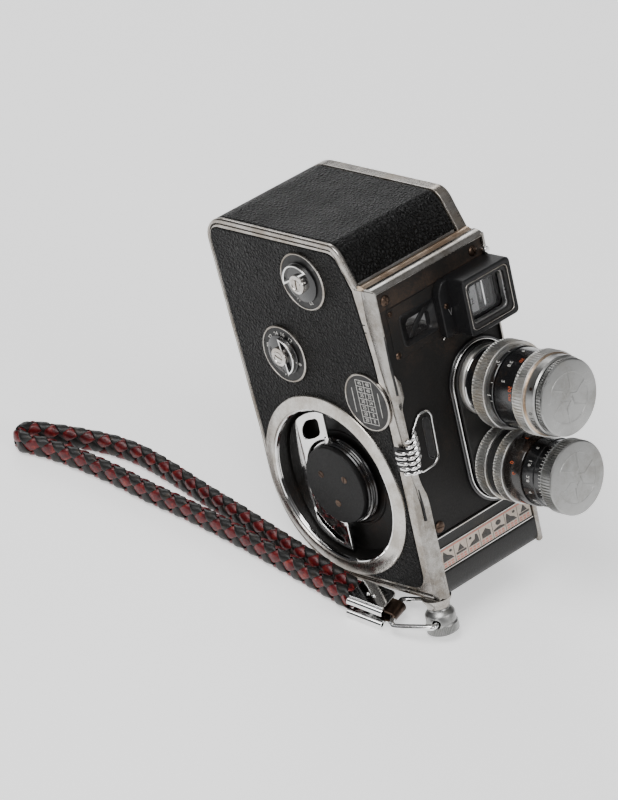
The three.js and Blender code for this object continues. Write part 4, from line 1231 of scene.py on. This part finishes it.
def make_turret():
    """The long round-ended turret plate in its seat, with the pivot in the middle."""
    front_piece("turret_seat", [obround(13.6), obround(11.9)], -34.9, -36.15, 0.5, BLACK, "camera",
        ["turret_seat"], steps=5)
    front_piece("turret_line", [obround(12.75), obround(12.2)], -35.6, -36.55, 0.22, CHROME, steps=4)
    front_piece("turret_plate", [obround(11.7)], -36.2, -37.35, 0.3, STRIP_PAINT, "turret",
        ["turret_plate"], steps=4)
    middle = (UPPER_LENS_Z + LOWER_LENS_Z) / 2
    turned_piece("turret_pivot", [(0, -37.2), (1.9, -37.2), (1.9, -37.7), (1.6, -38.1), (0, -38.25)], "Y",
        (LENS_X, middle), SCREW_METAL, "camera", ["turret_pivot"], segments=48)


def knurl_ring(name, at, r, y0, y1, teeth, depth, material, body, bore, replaced=()):
    """A straight-knurled ring between two places, with plain chamfers."""
    chamfer = 0.22
    profile = [(bore, y0), (r - chamfer, y0), (r, y0 - chamfer), (r, y0 - chamfer - 0.12, depth),
        (r, y1 + chamfer + 0.12, depth), (r, y1 + chamfer), (r - chamfer, y1), (bore, y1), (bore, y0)]
    ring = turned(name, profile, "Y", at, teeth=teeth)
    return settle(ring, material, body, replaced, angle=30)


def make_upper_lens():
    at = (LENS_X, UPPER_LENS_Z)
    turned_piece("upper_flange", [(7.4, -37.4), (11.2, -37.4), (11.4, -37.7), (11.4, -39.2), (11.15, -39.6),
        (10.4, -39.75), (7.4, -39.75), (7.4, -37.4)], "Y", at, NICKEL, "turret",
        segments=128)
    turned_piece("upper_flange_line", [(10.6, -39.7), (10.95, -39.8), (11, -40), (10.9, -40.2),
        (10.6, -40.2), (10.6, -39.7)], "Y", at, CHROME, "turret", segments=128)
    turned_piece("upper_lens_barrel", [(7.4, -39.6), (10.7, -39.6), (10.7, -45.7), (9.9, -45.7),
        (9.9, -54.4), (12.5, -54.4), (12.65, -54.6), (12.65, -62.5), (12.5, -62.75), (9.9, -62.75),
        (9.9, -73), (7.4, -73), (7.4, -39.6)], "Y", at, BLACK, "turret", ["upper_lens_barrel"],
        segments=128, angle=30)
    knurl_ring("upper_focus_knurl", at, 14.1, -45.9, -51.2, 84, 0.5, NICKEL, "upper_focus", 10.2)
    turned_piece("upper_focus_ring", [(10.2, -51.1), (12.9, -51.1), (13, -51.3), (13, -53.9),
        (12.85, -54.15), (10.2, -54.15), (10.2, -51.1)], "Y", at, BLACK, "upper_focus",
        ["upper_focus_ring"], segments=128, angle=30)
    knurl_ring("upper_aperture_ring", at, 13.6, -63, -67.6, 82, 0.46, NICKEL, "upper_aperture", 10.2,
        replaced=["upper_aperture_ring"])
    turned_piece("upper_rust_line", [(12.2, -67.6), (13.2, -67.6), (13, -68), (12.6, -68.3), (12.2, -68.3),
        (12.2, -67.6)], "Y", at, WORN_ROLL, "upper_aperture", segments=128)
    turned_piece("upper_front_ring", [(10.2, -68), (12.5, -68), (12.75, -68.3), (12.75, -71.3),
        (12.4, -71.85), (10.2, -71.9), (10.2, -68)], "Y", at, CAP, "upper_aperture",
        segments=128, angle=30)
    turned_piece("upper_lens_glass", [(0, -71.6), (3, -71.4), (5.4, -70.8), (7.2, -69.8), (7.2, -68.4),
        (0, -68.4)], "Y", at, LENS_GLASS, "turret", ["upper_lens_glass"], segments=64)
    make_cap("upper", at, 12.25, -72.05, -74.5)
    engrave("upper", at, 12.66, "turret", [
        (WHITE, 1.8, -57.6, {"2.8": 118, "4": 88, "5.6": 60, "8": 34, "11": 8}),
        (WHITE, 1.8, -57.8, {"2": 145}),
        (WHITE, 1.8, -60.4, {"16": 222}),
        (ORANGE, 1.8, -60.9, {"50": 108}),
        (ORANGE, 1.9, -61.2, {"50 cm": 160}),
    ])
    engrave("upper_focus", at, 13, "upper_focus", [
        (WHITE, 2.2, -52.8, {"1": 168}),
        (WHITE, 2, -52.8, {"3": 120, "6": 70, "9": 20}),
    ])
    front = [(INK, 2.2, -70, {"0 12345": 196}), (INK, 2, -70, {"1:2.8": 260})]
    engrave("upper_front", at, 12.76, "upper_aperture", front)
    dot = turned("upper_index", [(0, -0.05), (0.55, -0.05), (0.55, 0.1), (0, 0.1)], "Z", (0, 0), 24)
    wrap_y(dot.data, at, 12.76, 147, -70)
    settle(dot, SCREW_METAL, "upper_aperture")
    rule("upper_focus", at, 13, -53.5, range(20, 177, 26), 0.07, 0.4)


def rule(ring, at, radius, y, angles, half_width, half_length):
    """A scale of white lines along a lens ring, one at each angle round it."""
    lines = []
    for angle in angles:
        loop = rounded(-half_width, half_width, -half_length, half_length, 0.02, 1)
        mesh = take(slab_y("line", [loop], 0.04, -0.04, 0.01))
        mesh.transform(Matrix.Rotation(math.radians(90), 4, "X"))
        lines.append(wrap_y(mesh, at, radius, angle, y))
    settle(join(f"{ring}_scale", lines), WHITE, ring)


def engrave(name, at, radius, body, rows):
    """Numerals round a barrel: their baseline runs round it and their tops face the camera body.

    Each row holds its filling, its size, its place along the barrel, and the angle of each number.
    """
    by_material = {}
    for material, size, y, angles in rows:
        for words, angle in angles.items():
            mesh = wrap_y(letters(words, size, 0.06), at, radius, angle, y)
            by_material.setdefault(material.name, (material, []))[1].append(mesh)
    for index, (material, meshes) in enumerate(by_material.values()):
        settle(join(f"{name}_numerals_{index + 1}", meshes), material, body, angle=50)


def make_lower_lens():
    at = (LENS_X, LOWER_LENS_Z)
    knurl_ring("lower_flange_knurl", at, 12.1, -37.6, -42.2, 76, 0.46, NICKEL, "turret", 9)
    turned_piece("lower_lens_barrel", [(6.8, -42), (11.2, -42), (11.2, -45.3), (9.4, -45.3), (9.4, -69.6),
        (6.8, -69.6), (6.8, -42)], "Y", at, INSIDE, "turret", ["lower_lens_barrel"],
        segments=128, angle=30)
    knurl_ring("lower_focus_knurl", at, 12.1, -45.5, -49.5, 76, 0.46, NICKEL, "lower_focus", 9.7)
    turned_piece("lower_focus_ring", [(9.7, -49.4), (11.6, -49.4), (11.7, -49.7), (11.6, -56.7),
        (11.4, -57.05), (9.7, -57.05), (9.7, -49.4)], "Y", at, BROWN_BLACK, "lower_focus",
        ["lower_focus_ring"], segments=128, angle=30)
    turned_piece("lower_aperture_ring", [(9.7, -57.3), (10.9, -57.3), (11.1, -57.6), (11.1, -62.2),
        (10.8, -62.5), (10.8, -65.6), (10.6, -65.85), (9.7, -65.85), (9.7, -57.3)], "Y", at, BLACK,
        "lower_aperture", ["lower_aperture_ring"], segments=128, angle=30)
    rule("lower_aperture", at, 10.8, -64.9, range(60, 259, 6), 0.08, 0.55)
    engrave("lower_focus", at, 11.66, "lower_focus", [
        (ORANGE, 2, -53.2, {"0": 146}),
        (ORANGE, 2, -54.6, {"9": 162}),
        (ORANGE, 2, -53.4, {"13": 222}),
        (ORANGE, 2, -53.6, {"2": 100, "1": 60}),
    ])
    stops = {"1.9": 140, "2.8": 166, "4": 190, "5.6": 212, "8": 112, "11": 84, "16": 56}
    engrave("lower_aperture", at, 11.1, "lower_aperture", [(WHITE, 1.8, -60.2, stops)])
    turned_piece("lower_lens_glass", [(0, -68.2), (3, -68), (5, -67.6), (6.6, -66.8), (6.6, -65.2),
        (0, -65.2)], "Y", at, LENS_GLASS, "turret", ["lower_lens_glass"], segments=64)
    make_cap("lower", at, 11.95, -66.1, -70.9)


BLADES = 6
BLADE = [(3.3, -0.25), (7.9, 2.6), (7.65, 3.15), (3.3, 0.5), (0.7, 1.35), (0.6, 0.9), (3.1, 0.1)]


def make_cap(name, at, r, y0, y1):
    """A push-on cap: knurled side, chamfer, and a flat face with a plain raised iris pattern."""
    profile = [(r - 1.6, y0), (r - 0.3, y0), (r, y0 - 0.25), (r, y0 - 0.4, 0.45), (r, y1 + 0.55, 0.45),
        (r, y1 + 0.42), (r - 0.35, y1 + 0.12), (r - 0.7, y1 + 0.06), (0, y1 + 0.06), (0, y0 - 1),
        (r - 1.6, y0 - 1), (r - 1.6, y0)]
    settle(turned(f"{name}_lens_cap", profile, "Y", at, teeth=76), CAP, f"{name}_cap", [f"{name}_lens_cap"],
        angle=28)
    blades = []
    for a in (2 * math.pi * k / BLADES for k in range(BLADES)):
        loop = [(u * math.cos(a) - v * math.sin(a) + at[0], u * math.sin(a) + v * math.cos(a) + at[1])
            for u, v in BLADE]
        blades.append(take(slab_y("blade", [loop], y1 + 0.1, y1 + 0.001, 0.04, 2)))
    ring = turned("ring", [(7.9, y1 + 0.1), (7.95, y1 + 0.01), (8.3, y1 + 0.01), (8.35, y1 + 0.1),
        (7.9, y1 + 0.1)], "Y", at, 96)
    blades.append(take(ring))
    settle(join(f"{name}_cap_pattern", blades), CAP, f"{name}_cap", angle=30)


# ---------------------------------------------------------------- foot, ring and strap
RING_ALONG = Vector((-0.48, 0.87, 0)).normalized()
RING_ACROSS = Vector((RING_ALONG.y, -RING_ALONG.x, 0))
RING_HALF = 7
RING_FAR = 14.5
RING_FAR_Z = 4.2
REARWARD = Vector((-0.27, 0.96, 0)).normalized()
SIDEWAYS = Vector((REARWARD.y, -REARWARD.x, 0))
STRAP_Z = 4
STRAP_ROUTE = [(-34.7, -4), (-35.1, 4), (-36.1, 17), (-37.4, 33), (-39.2, 49), (-41.4, 64), (-44.2, 79),
    (-46.9, 96.5), (-50.6, 111.5), (-54.2, 121.4), (-56.4, 126.2), (-55.4, 129.8), (-51.4, 129.2),
    (-46.4, 122.8), (-40.9, 114.2), (-36.1, 105), (-33.2, 95.5), (-32, 82), (-31.7, 66.5), (-31, 52),
    (-30.7, 37.5), (-30.4, 25), (-30, 12), (-29.9, -2.6),]
STRANDS = 3
LAY_LENGTH = 18.5


def ground_point(along, across, z):
    point = RING_PLACE + RING_ALONG * along + RING_ACROSS * across
    return Vector((point.x, point.y, z))


def centripetal(points, per_span):
    """The centripetal Catmull-Rom curve through the points, which bends without overshooting."""
    padded = [2 * points[0] - points[1], *points, 2 * points[-1] - points[-2]]
    line = []
    for p0, p1, p2, p3 in zip(padded, padded[1:], padded[2:], padded[3:]):
        d0, d1, d2 = ((b - a).length ** 0.5 for a, b in ((p0, p1), (p1, p2), (p2, p3)))
        m1 = ((p1 - p0) / d0 - (p2 - p0) / (d0 + d1) + (p2 - p1) / d1) * d1
        m2 = ((p2 - p1) / d1 - (p3 - p1) / (d1 + d2) + (p3 - p2) / d2) * d1
        for step in range(per_span):
            t = step / per_span
            line.append((2 * t ** 3 - 3 * t * t + 1) * p1 + (t ** 3 - 2 * t * t + t) * m1
                + (3 * t * t - 2 * t ** 3) * p2 + (t ** 3 - t * t) * m2)
    line.append(points[-1])
    return line


def even_steps(line, step):
    """The same line cut into equal steps."""
    lengths = [0]
    for a, b in zip(line, line[1:]):
        lengths.append(lengths[-1] + (b - a).length)
    count = round(lengths[-1] / step)
    even, k = [], 0
    for i in range(count + 1):
        at = lengths[-1] * i / count
        while k < len(line) - 2 and lengths[k + 1] < at:
            k += 1
        share = (at - lengths[k]) / (lengths[k + 1] - lengths[k])
        even.append(line[k].lerp(line[k + 1], min(1, share)))
    return even, lengths[-1]


def on_core(place, lift):
    """A point round the strap's flat core, with the way it faces. Place counts strands round it."""
    half, straight = 1.42, 1.66
    perimeter = 2 * math.pi * half + 4 * straight
    u = place / STRANDS * perimeter % perimeter
    pieces = [("arc", math.pi * half, 0), ("down", 2 * straight, 0), ("arc", math.pi * half, 180),
        ("up", 2 * straight, 0)]
    for kind, length, start in pieces:
        if u <= length:
            break
        u -= length
    if kind == "arc":
        a = math.radians(start) + u / half
        center = straight if start == 0 else -straight
        facing = (math.cos(a), math.sin(a))
        return facing[0] * (half + lift), center + facing[1] * (half + lift), facing
    side = -1 if kind == "down" else 1
    return side * (half + lift), (straight - u) * -side, (side, 0)


def make_strap():
    """The plaited strap: three red laces wound one way and three black ones the other, over and under."""
    route = [Vector((x, y, STRAP_Z)) for x, y in STRAP_ROUTE]
    line, length = even_steps(centripetal(route, 24), 0.55)
    red = [lace(line, length, i, 1) for i in range(STRANDS)]
    black = [lace(line, length, i, -1) for i in range(STRANDS)]
    strap = join("strap_cord", red + black)
    for index, polygon in enumerate(strap.data.polygons):
        polygon.material_index = 0 if index < len(strap.data.polygons) // 2 else 1
    settle(strap, [RED_LACE, BLACK_LACE], "strap", ["strap_cord"], matrix=GROUND, angle=60)
    core = wire("strap_core", line, 1.2, sides=12)
    settle(core, INSIDE, "strap", matrix=GROUND)
    return strap, core, [GROUND @ point for point in line], length * MM


def lace(line, length, index, way):
    """One flat lace wound round the core, lifted where it crosses over and sunk where it goes under."""
    count = len(line)
    width, thick, wave, cupping = 3.75, 0.95, 0.42, 0.05
    corners = 14
    centers, normals = [], []
    for i, point in enumerate(line):
        s = length * i / (count - 1)
        crossing = 2 * STRANDS * s / LAY_LENGTH
        lift = wave * math.cos(math.pi * crossing) * way
        across, up, facing = on_core(index + way * STRANDS * s / LAY_LENGTH, lift)
        tangent = (line[min(i + 1, count - 1)] - line[max(i - 1, 0)]).normalized()
        side = Vector((tangent.y, -tangent.x, 0))
        centers.append(point + side * across + Vector((0, 0, up)))
        normals.append(side * facing[0] + Vector((0, 0, facing[1])))
    rings = []
    for i, (center, normal) in enumerate(zip(centers, normals)):
        along = (centers[min(i + 1, count - 1)] - centers[max(i - 1, 0)]).normalized()
        wide = along.cross(normal).normalized()
        out = wide.cross(along).normalized()
        ring = []
        for a in (2 * math.pi * k / corners for k in range(corners)):
            u = math.copysign(abs(math.cos(a)) ** 0.55, math.cos(a)) * width / 2
            w = math.copysign(abs(math.sin(a)) ** 0.8, math.sin(a)) * thick / 2
            ring.append(center + wide * u + out * (w - cupping * u * u))
        rings.append(ring)
    return take(mesh_from("lace", rings))


def make_ferrule():
    """The folded sheet end that grips both ends of the strap, with the fold that takes the ring."""
    at = ground_point(RING_FAR, 0, RING_FAR_Z)
    place = Matrix.Translation(at) @ Matrix((SIDEWAYS, REARWARD, Vector((0, 0, 1)))).transposed().to_4x4()
    matrix = GROUND @ place
    near, far, left, right, top = 2.2, 14.2, -5.2, 4.7, 3.85

    def plate(name, outline, low, high, material, replaced=()):
        mesh = slab_mesh([outline], high - low, 0.18, 3)
        mesh.transform(Matrix.Translation((0, 0, low)))
        return settle(new_object(name, mesh), material, "strap", replaced, matrix=matrix,
            flat=True)

    outline = smooth_corners([(left, near), (right - 1.2, near), (right, near + 1.2), (right, far),
        (left, far)], 0.5)
    pieces = [plate("strap_ferrule", outline, top - 0.75, top, CHROME, ["strap_ferrule"])]
    pieces.append(plate("ferrule_floor", outline, -top, -top + 0.75, CHROME))
    flap = smooth_corners([(left, far + 0.1), (right - 0.2, far + 0.1), (left + 1.3, near - 0.1),
        (left, near - 0.1)], 0.35)
    pieces.append(plate("ferrule_flap", flap, top - 0.05, top + 0.4, CHROME))
    wall = [[(right + 0.1, far, c), (right + 0.1, near + 1.2, c), (right - 0.55, near + 1.2, c),
        (right - 0.55, far, c)] for c in (-top + 0.2, top - 0.2)]
    pieces.append(settle(mesh_from("ferrule_wall", wall), CHROME, "strap", matrix=matrix,
        bevel=0.25))
    for name, c in (("upper", 2.45), ("lower", -2.45)):
        roll = turned(f"ferrule_roll_{name}", [(0.85, near - 0.3), (1.3, near - 0.3), (1.42, near - 0.15),
            (1.42, far + 0.1), (1.3, far + 0.25), (0.85, far + 0.25), (0.85, near - 0.3)], "Y", (left, c),
            48)
        pieces.append(settle(roll, CHROME, "strap", matrix=matrix))
    for index, b in enumerate((9.5, 7.4)):
        dome = turned(f"ferrule_rivet_{index + 1}", [(0, top + 1), (0.35, top + 0.95),
            (0.65, top + 0.7), (0.78, top + 0.3), (0, top + 0.3)], "Z", (-1.3, b), 32)
        pieces.append(settle(dome, CHROME, "strap", matrix=matrix))
    outside = [(5, 2), (1.2, 2)] + arc((0.1, 0), 1.95, 90, 270, 12) + [(1.2, -2), (5, -2)]
    inside = [(5, -1.4), (1.1, -1.4)] + arc((0.1, 0), 1.35, 270, 90, 12) + [(1.1, 1.4), (5, 1.4)]
    section = outside + inside
    rings = [[(a, b, c) for b, c in section] for a in (-3.5, 3.4)]
    pieces.append(settle(mesh_from("ferrule_fold", rings), SCREW_METAL, "strap",
        matrix=matrix, angle=40))
    return pieces


def make_ring():
    """The rectangular wire ring between the screw and the strap, with round corners."""
    near, far, bend = RING_PLACE.z, RING_FAR_Z, 2.2
    half = [(0, RING_HALF - bend, near), (bend * 0.3, RING_HALF - bend * 0.3, near), (bend, RING_HALF, near),
        (RING_FAR - bend, RING_HALF, far), (RING_FAR - bend * 0.3, RING_HALF - bend * 0.3, far),
        (RING_FAR, RING_HALF - bend, far)]
    corners = [(0, 0, near)] + half + [(along, -across, z) for along, across, z in half[::-1]]
    line = catmull([ground_point(*corner) for corner in corners], True, 12)
    settle(wire("strap_ring", line, 1, closed=True, sides=20), CHROME, "ring", ["strap_ring"],
        matrix=GROUND)


def make_foot():
    """The tripod bush, and the knurled strap screw with the cross hole that takes the ring."""
    turned_piece("tripod_bush", [(2.4, 0.6), (4.9, 0.6), (4.7, -0.4), (3.9, -1.6), (3.75, -2.7),
        (3.5, -2.9), (2.4, -2.9), (2.4, 0.6)], "Z", SCREW, SATIN, "camera", ["tripod_bush"],
        segments=64)
    profile = [(0, -0.6), (2, -0.6), (2, -3.1), (3.2, -3.1), (3.35, -3.3), (3.4, -3.7), (4.45, -4.5),
        (4.75, -5), (4.85, -5.2), (4.9, -7.9), (5.15, -8.3), (5.25, -8.5), (5.25, -8.65, 0.28),
        (5.25, -11.05, 0.28), (5.25, -11.2), (5, -11.45), (0, -11.5)]
    screw = turned("strap_screw", profile, "Z", SCREW, teeth=56)
    hole = mesh_from("hole", [[ground_point(1.45 * math.cos(a), across, RING_PLACE.z + 1.45 * math.sin(a))
        for a in (2 * math.pi * k / 32 for k in range(32))] for across in (-9, 9)])
    hole.data.transform(BODY.inverted() @ GROUND)
    cut(screw, hole)
    settle(screw, CAP, "screw", ["strap_screw"], angle=30)


# ---------------------------------------------------------------- works
WORKS = {"mechanism_plate": ALLOY, "film_gate": ALLOY, "pressure_plate": STEEL, "film_claw": STEEL,
    "shutter_disc": BROWN_BLACK, "mainspring_barrel": BRASS, "mainspring": STEEL, "train_wheel": BRASS,
    "governor": BRASS, "supply_spool": ALLOY, "takeup_spool": ALLOY, "release_spring": STEEL}


def make_works():
    """The works stay as the CAD has them, with finishes of their own."""
    for name, material in WORKS.items():
        node = frame["nodes"][name]
        node.data.materials.clear()
        node.data.materials.append(material)


# ---------------------------------------------------------------- camera, light and floor
def make_camera():
    """The photograph's view, set in the frame of the ground the strap lies on."""
    camera = bpy.data.objects.new("camera", bpy.data.cameras.new("camera"))
    scene.collection.objects.link(camera)
    right = Vector((0.71295, -0.70076, 0.02490))
    up = Vector((0.41185, 0.44722, 0.79396))
    forward = Vector((0.56752, 0.55580, -0.60746))
    turn = Matrix((right, up, -forward)).transposed()
    place = GROUND @ Vector((-848.05, -779.59, 942.37))
    camera.matrix_world = Matrix.Translation(place) @ turn.to_4x4()
    camera.data.sensor_fit = "VERTICAL"
    camera.data.sensor_height = 36
    camera.data.lens = 207.73
    scene.camera = camera


def area_light(name, place, size, power):
    light = bpy.data.lights.new(name, "AREA")
    light.shape = "RECTANGLE"
    light.size, light.size_y = size
    light.energy = power
    obj = bpy.data.objects.new(name, light)
    scene.collection.objects.link(obj)
    obj.location = place
    obj.rotation_euler = (Vector((0, 0, 0.06)) - Vector(place)).to_track_quat("-Z", "Y").to_euler()


def make_studio():
    """A pale floor that glows a little, four soft lights, and a sky that is dark below and bright above."""
    floor_material = printed("floor", (0.86, 0.86, 0.86), (0.88, 0.88, 0.88), 0.8)
    shader = floor_material.node_tree.nodes["Principled BSDF"]
    shader.inputs["Emission Color"].default_value = (1, 1, 1, 1)
    shader.inputs["Emission Strength"].default_value = 0.7
    shader.inputs["Specular IOR Level"].default_value = 0.1
    mesh = bpy.data.meshes.new("floor")
    reach = 4
    mesh.from_pydata([(-reach, -reach, 0), (reach, -reach, 0), (reach, reach, 0), (-reach, reach, 0)], [],
        [(0, 1, 2, 3)])
    mesh.materials.append(floor_material)
    floor = new_object("floor", mesh)
    floor.location.z = -0.0002
    area_light("key", (-0.45, -0.05, 0.95), (0.6, 0.6), 8)
    area_light("front", (0.1, -1, 0.6), (0.7, 0.35), 5)
    area_light("side", (-1, -0.35, 0.3), (0.25, 0.7), 1.6)
    area_light("rear", (0.5, 0.9, 0.6), (0.6, 0.5), 4)
    world = bpy.data.worlds.new("studio")
    world.use_nodes = True
    nodes, links = world.node_tree.nodes, world.node_tree.links
    direction = nodes.new("ShaderNodeTexCoord")
    split = nodes.new("ShaderNodeSeparateXYZ")
    links.new(direction.outputs["Generated"], split.inputs["Vector"])
    sky = nodes.new("ShaderNodeValToRGB")
    stops = sky.color_ramp.elements
    stops[0].position, stops[0].color = 0, (0.1, 0.1, 0.105, 1)
    stops[1].position, stops[1].color = 0.9, (0.95, 0.95, 0.96, 1)
    stops.new(0.35).color = (0.14, 0.14, 0.15, 1)
    links.new(split.outputs["Z"], sky.inputs["Fac"])
    links.new(sky.outputs["Color"], nodes["Background"].inputs["Color"])
    nodes["Background"].inputs["Strength"].default_value = 0.52
    scene.world = world


# ---------------------------------------------------------------- the whole
make_camera()
strap, strap_core, strap_path, strap_length = make_strap()
ferrule = make_ferrule()
make_ring()
make_foot()
make_casing()
make_door()
make_bezel()
make_front_plate()
make_guide_plate()
make_winding()
make_dials()
make_chart()
make_release()
make_finder()
make_turret()
make_upper_lens()
make_lower_lens()
make_works()
make_studio()
